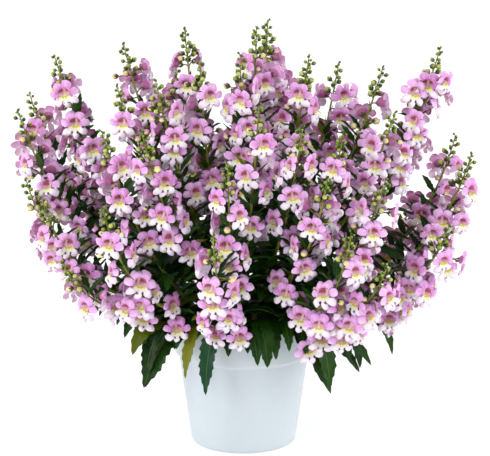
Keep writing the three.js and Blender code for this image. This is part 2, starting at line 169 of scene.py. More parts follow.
# Large leaves that arch over the rim and hang: stem, tip, greatest width, and how far the blade has
# rolled over at its tip, in degrees
HANGING_LEAVES = [
    ("front_left", (-92, -42, 90), 20, -55),
    ("front_left", (-91, -62, 70), 16, -45),
    ("front_left", (-118, -52, 127), 14, -40),
    ("left", (-136, -18, 126), 14, -45),
    ("left", (-104, 12, 92), 16, -30),
    ("front", (-54, -80, 84), 14, -15),
    ("front", (-35, -92, 72), 17, 0),
    ("front", (22, -97, 100), 19, 10),
    ("right_front", (42, -92, 114), 14, 0),
    ("right_front", (80, -80, 74), 22, 20),
    ("right_front", (99, -69, 98), 13, 45),
    ("right_front", (109, -50, 85), 17, 55),
    ("right", (140, -30, 92), 14, 50),
    ("right", (104, 20, 84), 18, 30),
    ("back_right", (72, 74, 72), 19, 20),
    ("back_right", (100, 50, 94), 15, -20),
    ("back", (14, 99, 74), 18, 0),
    ("back", (-24, 97, 92), 15, 15),
    ("back_left", (-68, 78, 72), 19, -20),
    ("left_back", (-96, 46, 84), 17, 25),
]


class Draws:
    """A seeded sequence of draws."""

    def __init__(self, seed):
        self.seed = seed

    def __call__(self, low, high):
        self.seed = (self.seed * 1664525 + 1013904223) & 0xFFFFFFFF
        return low + ((high - low) * self.seed) / 4294967296


draw = Draws(20417)
look = Draws(90121)


def vector(x, y, z):
    return np.array([x, y, z], float)


def unit(v):
    return v / math.sqrt(float(v @ v))


def cross(a, b):
    return np.array([a[1] * b[2] - a[2] * b[1], a[2] * b[0] - a[0] * b[2], a[0] * b[1] - a[1] * b[0]])


def toward(heading):
    """A level unit vector."""
    return vector(math.cos(heading), math.sin(heading), 0)


class Bend:
    """A bend from start to end in an upright plane: it leaves outward and turns up, or down, near the end."""

    def __init__(self, start, end, out_share, rise_share):
        middle = start + (end - start) * np.array([out_share, out_share, rise_share])
        t = (np.arange(BEND_STEPS + 1) / BEND_STEPS)[:, None]
        self.points = start * ((1 - t) * (1 - t)) + middle * (2 * t * (1 - t)) + end * (t * t)
        steps = np.sqrt(((self.points[1:] - self.points[:-1]) ** 2).sum(1))
        self.lengths = np.concatenate([[0.0], np.cumsum(steps)])
        self.length = float(self.lengths[-1])
        self.side = unit(vector(-(end[1] - start[1]), end[0] - start[0], 0))

    def at(self, distance):
        """The point and the direction at a distance along the bend."""
        i = min(max(int(np.searchsorted(self.lengths, distance)), 1), BEND_STEPS)
        direction = unit(self.points[i] - self.points[i - 1])
        return self.points[i - 1] + direction * (distance - self.lengths[i - 1]), direction

    def places(self, distances):
        """Points and directions at many distances, without corners between the steps."""
        distances = np.asarray(distances, float)
        points = np.stack([np.interp(distances, self.lengths, self.points[:, k]) for k in range(3)], 1)
        slopes = np.gradient(self.points, axis=0)
        directions = np.stack([np.interp(distances, self.lengths, slopes[:, k]) for k in range(3)], 1)
        return points, directions / np.linalg.norm(directions, axis=1)[:, None]


class Spike:
    """The flowering end of a branch: its bend from the fork to the tip, and where the flowers begin."""

    def __init__(self, name, fork, end):
        lean = math.hypot(end[0] - fork[0], end[1] - fork[1]) / (end[2] - fork[2])
        lowness = min(1.0, max(0.0, (lean - UPRIGHT_LEAN) / LEAN_RANGE))
        self.name = name
        middle_out = MIDDLE_OUT + MORE_OUT_WHEN_LOW * lowness
        self.curve = Bend(fork, end, middle_out, MIDDLE_UP - LESS_UP_WHEN_LOW * lowness)
        length = min(SPIKE_LENGTH, SPIKE_SHARE * self.curve.length)
        self.foot = self.curve.length - length
        self.start = min(BRANCH_START, BRANCH_START_SHARE * self.foot)
        self.heading = math.atan2(end[1], end[0])
        self.blooms = []
        self.buds = []
        self.more_blooms = []
        self.more_buds = []

    def root(self, distance):
        """The middle of the plain body of the branch or the spike, which is straight between a few rings."""
        on_branch = distance < self.foot
        low = self.start if on_branch else self.foot + SEAT_GAP
        high = self.foot if on_branch else self.curve.length - HEAD_LENGTH
        pieces = 1 if on_branch else AXIS_PIECES
        place = max(0.0, (distance - low) / (high - low)) * pieces
        piece = min(pieces - 1, math.floor(place))
        near = self.curve.at(low + ((high - low) * piece) / pieces)[0]
        far = self.curve.at(low + ((high - low) * (piece + 1)) / pieces)[0]
        return near + (far - near) * (place - piece)


class Stem:
    """A trunk that stands in the soil and forks into the branches of its spikes."""

    def __init__(self, name, root, tips):
        distance, bearing = root
        x = distance * math.cos(bearing * DEGREE)
        y = distance * math.sin(bearing * DEGREE)
        inner = distance < INNER_ROOT
        spread = INNER_SPREAD if inner else OUTER_SPREAD
        self.name = name
        self.root = vector(x, y, SOIL_TOP - ROOT_DEPTH)
        self.collar = vector(x, y, SOIL_TOP + COLLAR_ABOVE_SOIL)
        self.fork = vector(x * spread, y * spread, HIGH_FORK_HEIGHT if inner else LOW_FORK_HEIGHT)
        self.spikes = [Spike(f"{name}_{i}", self.fork, vector(*tip)) for i, tip in enumerate(tips, 1)]
        self.leaves = []

    def grow_leaf(self, curve, bare, width, roll=0, hanging=False):
        """A leaf along a bend, whose stalk is bare up to a distance."""
        leaf = {"curve": curve, "bare": bare, "width": width, "roll": roll, "hanging": hanging}
        self.leaves.append(leaf)


class Room:
    """The spheres that stand for what is already placed, each with the stem or spike that it belongs to."""

    def __init__(self):
        self.spheres = np.zeros((MOST_SPHERES, 4))
        self.owner = np.zeros(MOST_SPHERES, int)
        self.shared = np.zeros(MOST_SPHERES, bool)
        self.count = 0
        self.numbers = {}

    def take(self, spheres, owner, shared):
        """Adds spheres. Later ones of the same stem or spike keep clear of the shared ones only."""
        end = self.count + len(spheres)
        self.spheres[self.count:end] = spheres
        self.owner[self.count:end] = self.numbers.setdefault(owner, len(self.numbers))
        self.shared[self.count:end] = shared
        self.count = end

    def is_clear(self, spheres, owner, room=CLEAR_ROOM):
        spheres = np.asarray(spheres)
        radii = spheres[:, 3]
        aside = np.hypot(spheres[:, 0], spheres[:, 1]) > RIM_RADIUS + radii + POT_ROOM
        if np.any(~aside & (spheres[:, 2] < POT_HEIGHT + radii + POT_ROOM)):
            return False
        number = self.numbers.setdefault(owner, len(self.numbers))
        middle = spheres[:, :3].mean(0)
        reach = np.sqrt(((spheres[:, :3] - middle) ** 2).sum(1)).max() + radii.max() + room
        others = self.spheres[: self.count]
        gap = np.sqrt(((others[:, :3] - middle) ** 2).sum(1)) - others[:, 3]
        own = self.owner[: self.count] == number
        near = (gap < reach) & (~own | self.shared[: self.count])
        others = others[near]
        rooms = np.where(own[near], min(0.0, room), room)
        away = np.sqrt(((spheres[:, None, :3] - others[None, :, :3]) ** 2).sum(2))
        return not np.any(away < radii[:, None] + others[None, :, 3] + rooms[None, :])


def spheres_along(curve, start, end, step, radius):
    spheres = []
    distance = start
    while distance <= end:
        spheres.append([*curve.at(distance)[0], radius])
        distance += step
    return spheres


# A bloom's stalk leaves the axis almost square to it, and a little upward
STALK_SQUARE = 0.8
STALK_LIFT = 0.12

# The spheres that stand for a bloom: its cup, its neck, its stalk and two rings over its petals
CUP_BACK = 3
CUP_RADIUS = 4
NECK_RADIUS = 1.6
STALK_SHARE_OUT = 0.4
STALK_RADIUS = 1.2
PETAL_TURNS = (30, 95, 150, 210, 265, 330)
PETAL_RINGS = ((0.58, 3.3), (0.88, 1.9))


class Bloom:
    """A bloom's place: where it faces, which way is its top, and where its stalk leaves the axis."""

    def __init__(self, spike, distance, turn, reach, nod, roll, size, swing=0.0, lift=STALK_LIFT):
        point, direction = spike.curve.at(distance)
        heading = spike.heading + turn
        level = toward(heading)
        out = level - direction * (STALK_SQUARE * float(direction @ level))
        out = unit(out + UP * lift)
        self.face = unit(toward(heading + swing) + UP * nod)
        self.centre = point + out * reach
        top = unit(UP - self.face * self.face[2])
        right = cross(top, self.face)
        self.top = top * math.cos(roll) + right * math.sin(roll)
        self.side = right * math.cos(roll) - top * math.sin(roll)
        self.root = spike.root(distance)
        self.axis_point = point
        self.size = size

    def spheres(self, scale=1.0):
        neck = self.centre - self.face * NECK_BACK
        stalk = neck + (self.root - neck) * STALK_SHARE_OUT
        rows = [
            [*(self.centre - self.face * CUP_BACK), CUP_RADIUS * self.size * scale],
            [*neck, NECK_RADIUS * scale],
            [*stalk, STALK_RADIUS * scale],
        ]
        for turn in PETAL_TURNS:
            x, z = math.sin(turn * DEGREE), math.cos(turn * DEGREE)
            for share, radius in PETAL_RINGS:
                out = share * BLOOM_RADIUS * self.size
                petal = self.centre + self.side * (x * out) + self.top * (z * out)
                rows.append([*petal, radius * self.size * scale])
        return rows


def lay_out_plant():
    """The plant of the frame: the same stems, spikes, hanging leaves, buds, blooms and small leaves."""
    stems = [Stem(*row) for row in STEMS]
    spikes = [spike for stem in stems for spike in stem.spikes]
    room = Room()
    for stem in stems:
        trunk = Bend(stem.collar, stem.fork, 0.5, 0.5)
        room.take(spheres_along(trunk, 0, trunk.length, SPHERE_STEP, STEM_RADIUS), stem.name, False)
        for spike in stem.spikes:
            curve, foot = spike.curve, spike.foot
            branch = spheres_along(curve, 0, foot, SPHERE_STEP, BRANCH_RADIUS + AXIS_ROOM)
            room.take(branch, stem.name, False)
            axis = spheres_along(curve, foot, curve.length, SPHERE_STEP, AXIS_RADIUS + AXIS_ROOM)
            room.take(axis, spike.name, False)
    hang_leaves(stems, room)
    for spike in spikes:
        set_buds(spike, room)
    set_blooms(spikes, room)
    set_small_leaves(stems, room)
    return stems, spikes, room


def stem_named(stems, name):
    return next(stem for stem in stems if stem.name == name)


# Hanging leaves leave the stem at this share of its height, each next one higher. The middle of their
# bend lies this far out, and their spheres are this share of their width.
FIRST_HANGING_PLACE = 0.25
NEXT_HANGING_PLACE = 0.2
HANGING_OUT = 0.94
HANGING_SPHERE_STEP = 4
HANGING_SPHERE_SHARE = 0.32


def hang_leaves(stems, room):
    """Each hanging leaf leaves its stem below the fork and arches over the rim."""
    for name, tip, width, roll in HANGING_LEAVES:
        stem = stem_named(stems, name)
        place = FIRST_HANGING_PLACE + NEXT_HANGING_PLACE * len(stem.leaves)
        start = stem.collar + (stem.fork - stem.collar) * place
        curve = Bend(start, vector(*tip), HANGING_OUT, (ARCH_HEIGHT - start[2]) / (tip[2] - start[2]))
        bare = curve.length * STALK_SHARE
        stem.grow_leaf(curve, bare, width, roll, True)
        radius = width * HANGING_SPHERE_SHARE
        room.take(spheres_along(curve, bare, curve.length, HANGING_SPHERE_STEP, radius), stem.name, False)


# The buds of the solids: how near to the tip the last one stands, how far they rise along the axis, and
# the size, the reach and the ripeness of the first one, with what the last one lacks of each
LAST_BUD_SHARE = 0.86
BUD_RISE = 0.55
FIRST_BUD_SIZE = 1.15
BUD_SIZE_FALL = 0.55
FIRST_BUD_REACH = 1.1
BUD_REACH_FALL = 0.4
RIPEST_BUD = 0.7
RIPENESS_FALL = 0.6


def bud_way(spike, direction, turn, rise):
    """The way out from the axis to a bud, which rises along the axis."""
    out = toward(spike.heading + turn * DEGREE)
    return unit(out + direction * (rise - float(direction @ out)))


def set_buds(spike, room):
    """Buds round the top of a spike, smaller towards the tip."""
    turn = draw(0, 360)
    for i in range(BUDS_PER_SPIKE):
        share = (i + 0.5) / BUDS_PER_SPIKE
        point, direction = spike.curve.at(spike.curve.length - BUD_ZONE * (1 - share * LAST_BUD_SHARE))
        out = bud_way(spike, direction, turn + i * GOLDEN_ANGLE, BUD_RISE)
        radius = BUD_RADIUS * (FIRST_BUD_SIZE - BUD_SIZE_FALL * share)
        centre = point + out * (BUD_REACH * (FIRST_BUD_REACH - BUD_REACH_FALL * share))
        spheres = [[*centre, radius]]
        if room.is_clear(spheres, spike.name):
            room.take(spheres, spike.name, True)
            spike.buds.append((point, centre, out, radius, RIPEST_BUD - RIPENESS_FALL * share))


# Turn, slide along the axis and push outward, tried in this order where a bloom is crowded
SHIFTS = [
    (0, 0, 0), (24, 0, 0), (-24, 0, 0), (46, 3, 0), (-46, -3, 0), (12, 4, 4),
    (-12, -4, -3), (72, 0, 2), (-72, 0, -3), (100, 4, 4), (-100, -4, 4),
]

# Ranges of a bloom's nod, roll in degrees, size and slide along the axis. The spikes start at different
# turns, and only two thirds of the turns are used, those away from the middle of the bush.
BLOOM_NODS = (-0.16, 0.14)
BLOOM_ROLLS = (-12, 12)
BLOOM_SIZES = (0.92, 1.06)
BLOOM_SLIDES = (-2, 2)
NEXT_SPIKE_TURN = 97
USED_TURNS = 0.66
LOWEST_BLOOM = 6


def set_blooms(spikes, room):
    """Blooms go down each spike in turn, level by level, and shift round or along where one is crowded."""
    for level in range(BLOOM_LEVELS):
        for index, spike in enumerate(spikes):
            nod = draw(*BLOOM_NODS)
            roll = draw(*BLOOM_ROLLS) * DEGREE
            size = draw(*BLOOM_SIZES)
            distance = spike.curve.length - BUD_ZONE - level * BLOOM_SPACING - draw(*BLOOM_SLIDES)
            golden = ((index * NEXT_SPIKE_TURN) % 360 + level * GOLDEN_ANGLE) % 360
            for turn_shift, slide, push in SHIFTS:
                at = distance + slide
                if at < spike.foot + LOWEST_BLOOM:
                    continue
                turn = ((golden - 180) * USED_TURNS + turn_shift) * DEGREE
                bloom = Bloom(spike, at, turn, BLOOM_REACH + push, nod, roll, size)
                spheres = bloom.spheres()
                if room.is_clear(spheres, spike.name):
                    room.take(spheres, spike.name, True)
                    spike.blooms.append(bloom)
                    break


# Small leaves: where they stand on the bare branch, their sizes, the turns tried for one, and their bend
LEAF_PLACES = (0.05, 0.9)
LEAF_SIZES = (0.85, 1.15)
LEAF_TRIES = 18
LEAF_TRY_TURN = 20
LEAF_OUT = 0.9
LEAF_UP = 0.05
LEAF_ARCH = 8
LEAF_SPHERE_START = 9
LEAF_SPHERE_STEP = 4
LEAF_SPHERE_SHARE = 0.38


def set_small_leaves(stems, room):
    """Smaller leaves stand on the branches below the spikes, where there is room for them."""
    for stem in stems:
        for i in range(LEAVES_PER_STEM):
            spike = stem.spikes[i % len(stem.spikes)]
            distance = spike.start + draw(*LEAF_PLACES) * (spike.foot - spike.start)
            width = LEAF_WIDTH * draw(*LEAF_SIZES)
            length = LEAF_LENGTH * draw(*LEAF_SIZES)
            first = draw(0, 360)
            point = spike.root(distance)
            for attempt in range(LEAF_TRIES):
                away = toward((first + attempt * LEAF_TRY_TURN) * DEGREE) * LEAF_OUT + UP * LEAF_UP
                curve = Bend(point, point + away * length, 0.5, LEAF_ARCH)
                spheres = spheres_along(curve, LEAF_SPHERE_START, curve.length, LEAF_SPHERE_STEP,
                                        width * LEAF_SPHERE_SHARE)
                if room.is_clear(spheres, stem.name):
                    room.take(spheres, stem.name, True)
                    stem.grow_leaf(curve, 0, width)
                    break


# Geometry helpers

def grid_faces(rows, columns, closed):
    """Quads of a grid of points, row by row. A closed grid joins its last column to its first."""
    wide = columns if closed else columns - 1
    row, column = np.meshgrid(np.arange(rows - 1), np.arange(wide), indexing="ij")
    near = (row * columns + column).ravel()
    far = (row * columns + (column + 1) % columns).ravel()
    return np.stack([near, far, far + columns, near + columns], 1)


NO_FACES = np.zeros((0, 3), int)
ORIGIN = (0, 0, 0)


def end_fans(sides, first, last, first_tip, last_tip):
    """Fans that close a turned body: the first point of each end ring, and the points in their middles."""
    around = np.arange(sides)
    after = (around + 1) % sides
    start = np.stack([np.full(sides, first_tip), first + after, first + around], 1)
    end = np.stack([np.full(sides, last_tip), last + around, last + after], 1)
    return np.concatenate([start, end])


def tube(points, directions, radii, sides, side):
    """A round tube along points, with both ends closed by fans."""
    other = np.cross(directions, side)
    other /= np.linalg.norm(other, axis=1)[:, None]
    first = np.cross(other, directions)
    angle = np.arange(sides) * (2 * math.pi / sides)
    radii = np.asarray(radii, float)[:, None, None]
    ring = first[:, None, :] * np.cos(angle)[None, :, None] + other[:, None, :] * np.sin(angle)[None, :, None]
    body = points[:, None, :] + ring * radii
    count = len(points) * sides
    body = np.concatenate([body.reshape(-1, 3), points[:1], points[-1:]])
    return body, grid_faces(len(points), sides, True), end_fans(sides, 0, count - sides, count, count + 1)


class Piece:
    """Gathers the faces of one piece. Each point has a place and a tone, which the materials read."""

    def __init__(self):
        self.points, self.places, self.tones = [], [], []
        self.quads, self.quad_finish = [], []
        self.triangles, self.triangle_finish = [], []
        self.count = 0

    def add(self, points, quads, triangles, finish, tone, places=ORIGIN):
        points = np.asarray(points, float)
        self.points.append(points)
        self.places.append(np.broadcast_to(places, points.shape))
        self.tones.append(np.broadcast_to(tone, points.shape))
        if len(quads):
            self.quads.append(quads + self.count)
            self.quad_finish.append(np.full(len(quads), finish))
        if len(triangles):
            self.triangles.append(triangles + self.count)
            self.triangle_finish.append(np.full(len(triangles), finish))
        self.count += len(points)

    def make(self, name, finishes, slot, replaced):
        points = (np.concatenate(self.points) * MM).astype(np.float32)
        quads = np.concatenate(self.quads) if self.quads else np.zeros((0, 4), int)
        triangles = np.concatenate(self.triangles) if self.triangles else NO_FACES
        corners = np.concatenate([quads.ravel(), triangles.ravel()]).astype(np.int32)
        starts = np.concatenate([np.arange(len(quads)) * 4,
                                 quads.size + np.arange(len(triangles)) * 3]).astype(np.int32)
        finish = np.concatenate(self.quad_finish + self.triangle_finish).astype(np.int32)
        mesh = bpy.data.meshes.new(name)
        mesh.vertices.add(len(points))
        mesh.vertices.foreach_set("co", points.ravel())
        mesh.loops.add(len(corners))
        mesh.loops.foreach_set("vertex_index", corners)
        mesh.polygons.add(len(starts))
        mesh.polygons.foreach_set("loop_start", starts)
        mesh.polygons.foreach_set("material_index", finish)
        mesh.polygons.foreach_set("use_smooth", np.ones(len(starts), bool))
        mesh.update(calc_edges=True)
        for title, rows in (("place", self.places), ("tone", self.tones)):
            values = np.concatenate(rows).astype(np.float32).ravel()
            mesh.attributes.new(title, "FLOAT_VECTOR", "POINT").data.foreach_set("vector", values)
        for one in finishes:
            mesh.materials.append(one)
        piece = bpy.data.objects.new(name, mesh)
        bpy.context.scene.collection.objects.link(piece)
        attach(piece, BODY)
        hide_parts(*replaced)


# Blooms: two upper lobes, two side lobes and three lower ones round a deep throat. Angles run from
# the top clockwise. The lists up to LOBE_BENDS go once round the bloom, and those from LOBE_STEPS on
# run from the root of a lobe to its edge.
NOTCHES = [0, 56, 106, 157, 203, 254, 304, 360]
SLIT_ROOTS = [9.2, 7.3, 6.8, 5.6, 5.6, 6.8, 7.3, 9.2]
SLIT_WIDTHS = [0.2, 0.5, 0.85, 1.05, 1.05, 0.85, 0.5, 0.2]
LOBE_REACHES = [13.8, 14.1, 14.4, 13.9, 14.4, 14.1, 13.8]
LOBE_ROUNDING = [0.17, 0.27, 0.36, 0.34, 0.36, 0.27, 0.17]
LOBE_BENDS = [-2.6, -2.2, -1.8, -1.6, -1.8, -2.2, -2.6]
THROAT_WIDTH = 5.1
THROAT_HEIGHT = 4.0
THROAT_CENTRE = 2.5
THROAT_DEPTH = 6.3
LOBE_COLUMNS = 6
LOBE_STEPS = [0.0, 0.2, 0.52, 0.84, 1.0]
LOBE_DEPTHS = [0.5, 0.9, 1.0, 0.75, 0.2]
LIP_SWELL = [1.3, 2.2, 2.4, 1.6, 0.6]
PETAL_THICKNESS = 0.45
SLIT_BASES = [0, 0, 0.1, 0.1, 0.25]
SLIT_SHARES = [0, 1, 0.35, 0.3, 0.3]

# Rings of the throat from its floor to its mouth: share of its width, depth and thickness
THROAT_RINGS = [(0.8, -0.66 * THROAT_DEPTH, 1.1), (1.0, 0.0, 0.8)]
THROAT_FLOOR_THICKNESS = 1.6

# A lobe's crest at its root, the roundness and the wave of its edge, how far its sides bend back, the
# waves of its ruffle, the ranges of what differs from lobe to lobe, and where the lower lobes lie
ROOT_CREST = 0.3
ROUNDING_POWER = 2.3
EDGE_WAVE = 0.025
EDGE_WAVES = 5
SIDES_BACK = 0.8
RUFFLE_WAVES = 3.4
LOBE_SIZES = (0.93, 1.03)
LOBE_BEND_SHARES = (0.1, 1.7)
LOBE_TWISTS = (-1.4, 1.4)
LOBE_RUFFLES = (0.4, 0.95)
LOWER_TURNS = (120, 240)


def bloom_sheet(draws):
    """The front sheet of a bloom: its points (right, forward, up), how far each is towards the edge of
    its lobe, its thickness, and its faces."""
    points, edges, thickness = [(0, -THROAT_DEPTH, THROAT_CENTRE)], [0.0], [THROAT_FLOOR_THICKNESS]
    quads, triangles = [], []
    known = {}

    def index_of(point, edge, thick):
        key = tuple(round(value, 3) for value in point)
        if key not in known:
            known[key] = len(points)
            points.append(point)
            edges.append(edge)
            thickness.append(thick)
        return known[key]

    for lobe in range(len(LOBE_REACHES)):
        start, end = NOTCHES[lobe], NOTCHES[lobe + 1]
        reach = LOBE_REACHES[lobe] * draws(*LOBE_SIZES)
        bend = LOBE_BENDS[lobe] * draws(*LOBE_BEND_SHARES)
        twist = draws(*LOBE_TWISTS)
        ruffle = draws(*LOBE_RUFFLES)
        phase = draws(0, ONE_TURN)
        middle = (start + end) / 2
        lower = 1.0 if LOWER_TURNS[0] < middle < LOWER_TURNS[1] else 0.0
        rows = []
        for i in range(LOBE_COLUMNS):
            t = -1 + 2 * i / (LOBE_COLUMNS - 1)
            angle = middle + t * (end - start) / 2
            sine, cosine = math.sin(angle * DEGREE), math.cos(angle * DEGREE)
            column = []
            for size, depth, thick in THROAT_RINGS:
                height = THROAT_CENTRE + THROAT_HEIGHT * size * cosine
                column.append(index_of((THROAT_WIDTH * size * sine, depth, height), 0.0, thick))
            root = np.interp(angle, NOTCHES, SLIT_ROOTS) + ROOT_CREST * (1 - t * t)
            rim = 1 + EDGE_WAVE * math.sin(EDGE_WAVES * t + phase)
            edge = reach * (1 - LOBE_ROUNDING[lobe] * abs(t) ** ROUNDING_POWER) * rim
            slit = SLIT_WIDTHS[lobe if t < 0 else lobe + 1]
            for k, step in enumerate(LOBE_STEPS):
                radius = root + (edge - root) * step
                gap = SLIT_BASES[k] + slit * SLIT_SHARES[k]
                turned = angle * DEGREE - math.copysign(math.asin(gap / radius), t) * t * t
                depth = LOBE_DEPTHS[k] + bend * step * step + lower * LIP_SWELL[k]
                wave = math.sin(RUFFLE_WAVES * t + phase)
                depth += -SIDES_BACK * t * t * step + ruffle * step * step * wave
                depth += twist * t * step
                on_edge = k == len(LOBE_STEPS) - 1 or abs(t) == 1
                point = (radius * math.sin(turned), depth, radius * math.cos(turned))
                column.append(index_of(point, step, 0.0 if on_edge else PETAL_THICKNESS))
            rows.append(column)
        for left, right in zip(rows, rows[1:]):
            triangles.append((0, left[0], right[0]))
            for k in range(len(left) - 1):
                quads.append((left[k], left[k + 1], right[k + 1], right[k]))
    return np.array(points, float), np.array(edges), np.array(thickness), np.array(quads), np.array(triangles)


def sheet_normals(points, quads, triangles):
    normals = np.zeros(points.shape)
    for corners in (triangles, quads[:, [0, 1, 2]], quads[:, [0, 2, 3]]):
        a, b, c = (points[corners[:, k]] for k in range(3))
        area = np.cross(b - a, c - a)
        for k in range(3):
            np.add.at(normals, corners[:, k], area)
    return normals / np.linalg.norm(normals, axis=1)[:, None]


def bloom_template(draws):
    """A closed bloom: the front sheet, and a back sheet that meets it all round the lobes' edges."""
    front, edges, thickness, quads, triangles = bloom_sheet(draws)
    normals = sheet_normals(front, quads, triangles)
    if normals[:, 1].sum() < 0:
        normals = -normals
        quads, triangles = quads[:, ::-1], triangles[:, ::-1]
    back = front - normals * thickness[:, None]
    count = len(front)
    return {
        "points": np.concatenate([front, back]),
        "edges": np.concatenate([edges, edges]),
        "back": np.concatenate([np.zeros(count), np.ones(count)]),
        "quads": np.concatenate([quads, quads[:, ::-1] + count]),
        "triangles": np.concatenate([triangles, triangles[:, ::-1] + count]),
    }


def sepals(count, base, inner, outer, width, length, rise):
    """A star of sepals round an axis that runs forward (y): closed kites that lean outward."""
    points, triangles, quads = [], [], []
    for i in range(count):
        angle = 2 * math.pi * (i + 0.5) / count
        out = np.array([math.sin(angle), 0, math.cos(angle)])
        across = np.array([math.cos(angle), 0, -math.sin(angle)])
        forward = np.array([0.0, 1.0, 0.0])
        foot = out * inner + forward * base
        tip = out * outer + forward * (base + length)
        middle = foot + (tip - foot) * 0.4
        n = len(points)
        points += [foot, middle - across * width, tip, middle + across * width, middle + out * rise]
        triangles += [(n + 4, n + 1, n), (n + 4, n + 2, n + 1), (n + 4, n + 3, n + 2), (n + 4, n, n + 3)]
        quads.append((n, n + 1, n + 2, n + 3))
    return np.array(points), np.array(quads), np.array(triangles)


def ball(sides, profile):
    """A closed body turned round the forward axis (y). The profile gives radius and forward for each ring,
    and its first and last rows are the tips."""
    angle = np.arange(sides) * (2 * math.pi / sides)
    points = [np.array([[0.0, profile[0][1], 0.0]])]
    for radius, forward in profile[1:-1]:
        points.append(np.stack([radius * np.sin(angle), np.full(sides, forward), radius * np.cos(angle)], 1))
    points.append(np.array([[0.0, profile[-1][1], 0.0]]))
    points = np.concatenate(points)
    rings = len(profile) - 2
    fans = end_fans(sides, 1, 1 + (rings - 1) * sides, 0, len(points) - 1)
    return points, grid_faces(rings, sides, True) + 1, fans


def placed(points, centre, side, face, top, size):
    """Points given as right, forward and up, put at a centre."""
    return centre + (points[:, :1] * side + points[:, 1:2] * face + points[:, 2:] * top) * size


def bent_line(start, end, lift, count):
    """Points and directions of a short stalk from start to end that is lifted in its middle."""
    t = np.linspace(0, 1, count)[:, None]
    middle = (start + end) / 2 + lift
    points = start * (1 - t) ** 2 + middle * 2 * t * (1 - t) + end * t * t
    slopes = 2 * (1 - t) * (middle - start) + 2 * t * (end - middle)
    return points, slopes / np.linalg.norm(slopes, axis=1)[:, None]


def across_from(direction):
    """A level unit vector square to a direction."""
    level = vector(-direction[1], direction[0], 0)
    return unit(level) if float(level @ level) > 1e-6 else vector(1, 0, 0)


def add_stalk(piece, start, end, lift, radii, sides, tone):
    points, directions = bent_line(start, end, lift, len(radii))
    body, quads, triangles = tube(points, directions, radii, sides, across_from(directions[0]))
    piece.add(body, quads, triangles, STALK, tone)


# Where each finish stands in the lists that the pieces are given
ONLY_FINISH = 0
STALK, BUD = 0, 1
WOOD, BLADE = 0, 1

BLOOM_KINDS = 9
CALYX_RISE = 1.2
bloom_kinds = [bloom_template(look) for _ in range(BLOOM_KINDS)]
calyx_kind = sepals(5, -9.2, 0.9, 4.0, 1.35, 4.6, 0.5)
bud_kind = ball(8, [(0, -1.0), (0.72, -0.8), (1.0, -0.1), (0.82, 0.65), (0.4, 1.15), (0, 1.3)])
bud_calyx_kind = sepals(5, -1.25, 0.3, 1.12, 0.66, 1.75, 0.2)
bract_kind = sepals(1, 0, 0.6, 2.4, 0.9, 5.0, 0.3)

# How much each bloom is stretched to the right, forward and up, and how its stalk thins and widens
BLOOM_STRETCHES = ((0.95, 1.06), (0.8, 1.25), (0.94, 1.04))
BLOOM_STALK_RADII = (0.75, 0.6, 0.6, 0.9)
BLOOM_STALK_LIFT = 1.6
BLOOM_STALK_SIDES = 5
CALYX_FOOT = 8.2


def add_sepals(stalks, kind, centre, side, face, top, size, tone):
    """Sepals or a bract."""
    points, quads, triangles = kind
    stalks.add(placed(points, centre, side, face, top, size), quads, triangles, STALK, tone)


def add_bloom(petals, stalks, bloom, kind, tint):
    """A bloom with its calyx and the stalk that it hangs from."""
    template = bloom_kinds[kind]
    local = template["points"]
    shape = np.array([look(*limits) for limits in BLOOM_STRETCHES])
    points = placed(local * shape, bloom.centre, bloom.side, bloom.face, bloom.top, bloom.size)
    places = np.stack([local[:, 0], local[:, 2], template["edges"]], 1)
    tone = np.stack([np.full(len(local), tint), template["back"], local[:, 1]], 1)
    petals.add(points, template["quads"], template["triangles"], ONLY_FINISH, tone, places)
    calyx_centre = bloom.centre + bloom.top * (CALYX_RISE * bloom.size)
    way = (bloom.side, bloom.face, bloom.top)
    add_sepals(stalks, calyx_kind, calyx_centre, *way, bloom.size, (0.2, tint, 0))
    neck = bloom.centre + (bloom.top * CALYX_RISE - bloom.face * CALYX_FOOT) * bloom.size
    lift = UP * BLOOM_STALK_LIFT
    add_stalk(stalks, bloom.axis_point, neck, lift, BLOOM_STALK_RADII, BLOOM_STALK_SIDES, (0.75, tint, 0))


# How much wider than its bud a calyx is, and the stalk of a bud: its least radius, its share of the bud's
# radius, how much thicker it is at its foot, and its lift
BUD_CALYX_SIZE = 1.12
LEAST_STALK = 0.35
BUD_STALK_SHARE = 0.2
STALK_FOOT = 1.2
BUD_STALK_LIFT = 0.5
BUD_STALK_SIDES = 4


def add_bud(stalks, root, centre, out, radius, ripeness):
    """A round bud in its calyx, on a short stalk."""
    side = across_from(out)
    top = cross(side, out)
    points, quads, triangles = bud_kind
    body = placed(points, centre, side, out, top, radius)
    upness = (body - centre) @ UP / radius
    places = np.stack([upness, points[:, 1], np.full(len(points), ripeness)], 1)
    stalks.add(body, quads, triangles, BUD, (ripeness, look(0, 1), 0), places)
    tone = (0.1, look(0, 1), 0)
    add_sepals(stalks, bud_calyx_kind, centre, side, out, top, radius * BUD_CALYX_SIZE, tone)
    thin = max(LEAST_STALK, radius * BUD_STALK_SHARE)
    radii = (thin * STALK_FOOT, thin, thin)
    lift = UP * BUD_STALK_LIFT
    add_stalk(stalks, root, centre - out * radius, lift, radii, BUD_STALK_SIDES, (0.6, look(0, 1), 0))


AXIS_ROWS = 34
AXIS_SIDES = 7
AXIS_TIP_RADIUS = 0.5
AXIS_THINNING = 1.3


def add_axis(stalks, spike):
    """The stalk of a spike, thick at its foot and thin among the buds."""
    length = spike.curve.length
    distances = np.linspace(spike.foot, length - 1, AXIS_ROWS)
    points, directions = spike.curve.places(distances)
    share = (distances - spike.foot) / (length - spike.foot)
    radii = AXIS_RADIUS + (AXIS_TIP_RADIUS - AXIS_RADIUS) * share ** AXIS_THINNING
    body, quads, triangles = tube(points, directions, radii, AXIS_SIDES, spike.curve.side)
    stalks.add(body, quads, triangles, STALK, (0.35, look(0, 1), 0))


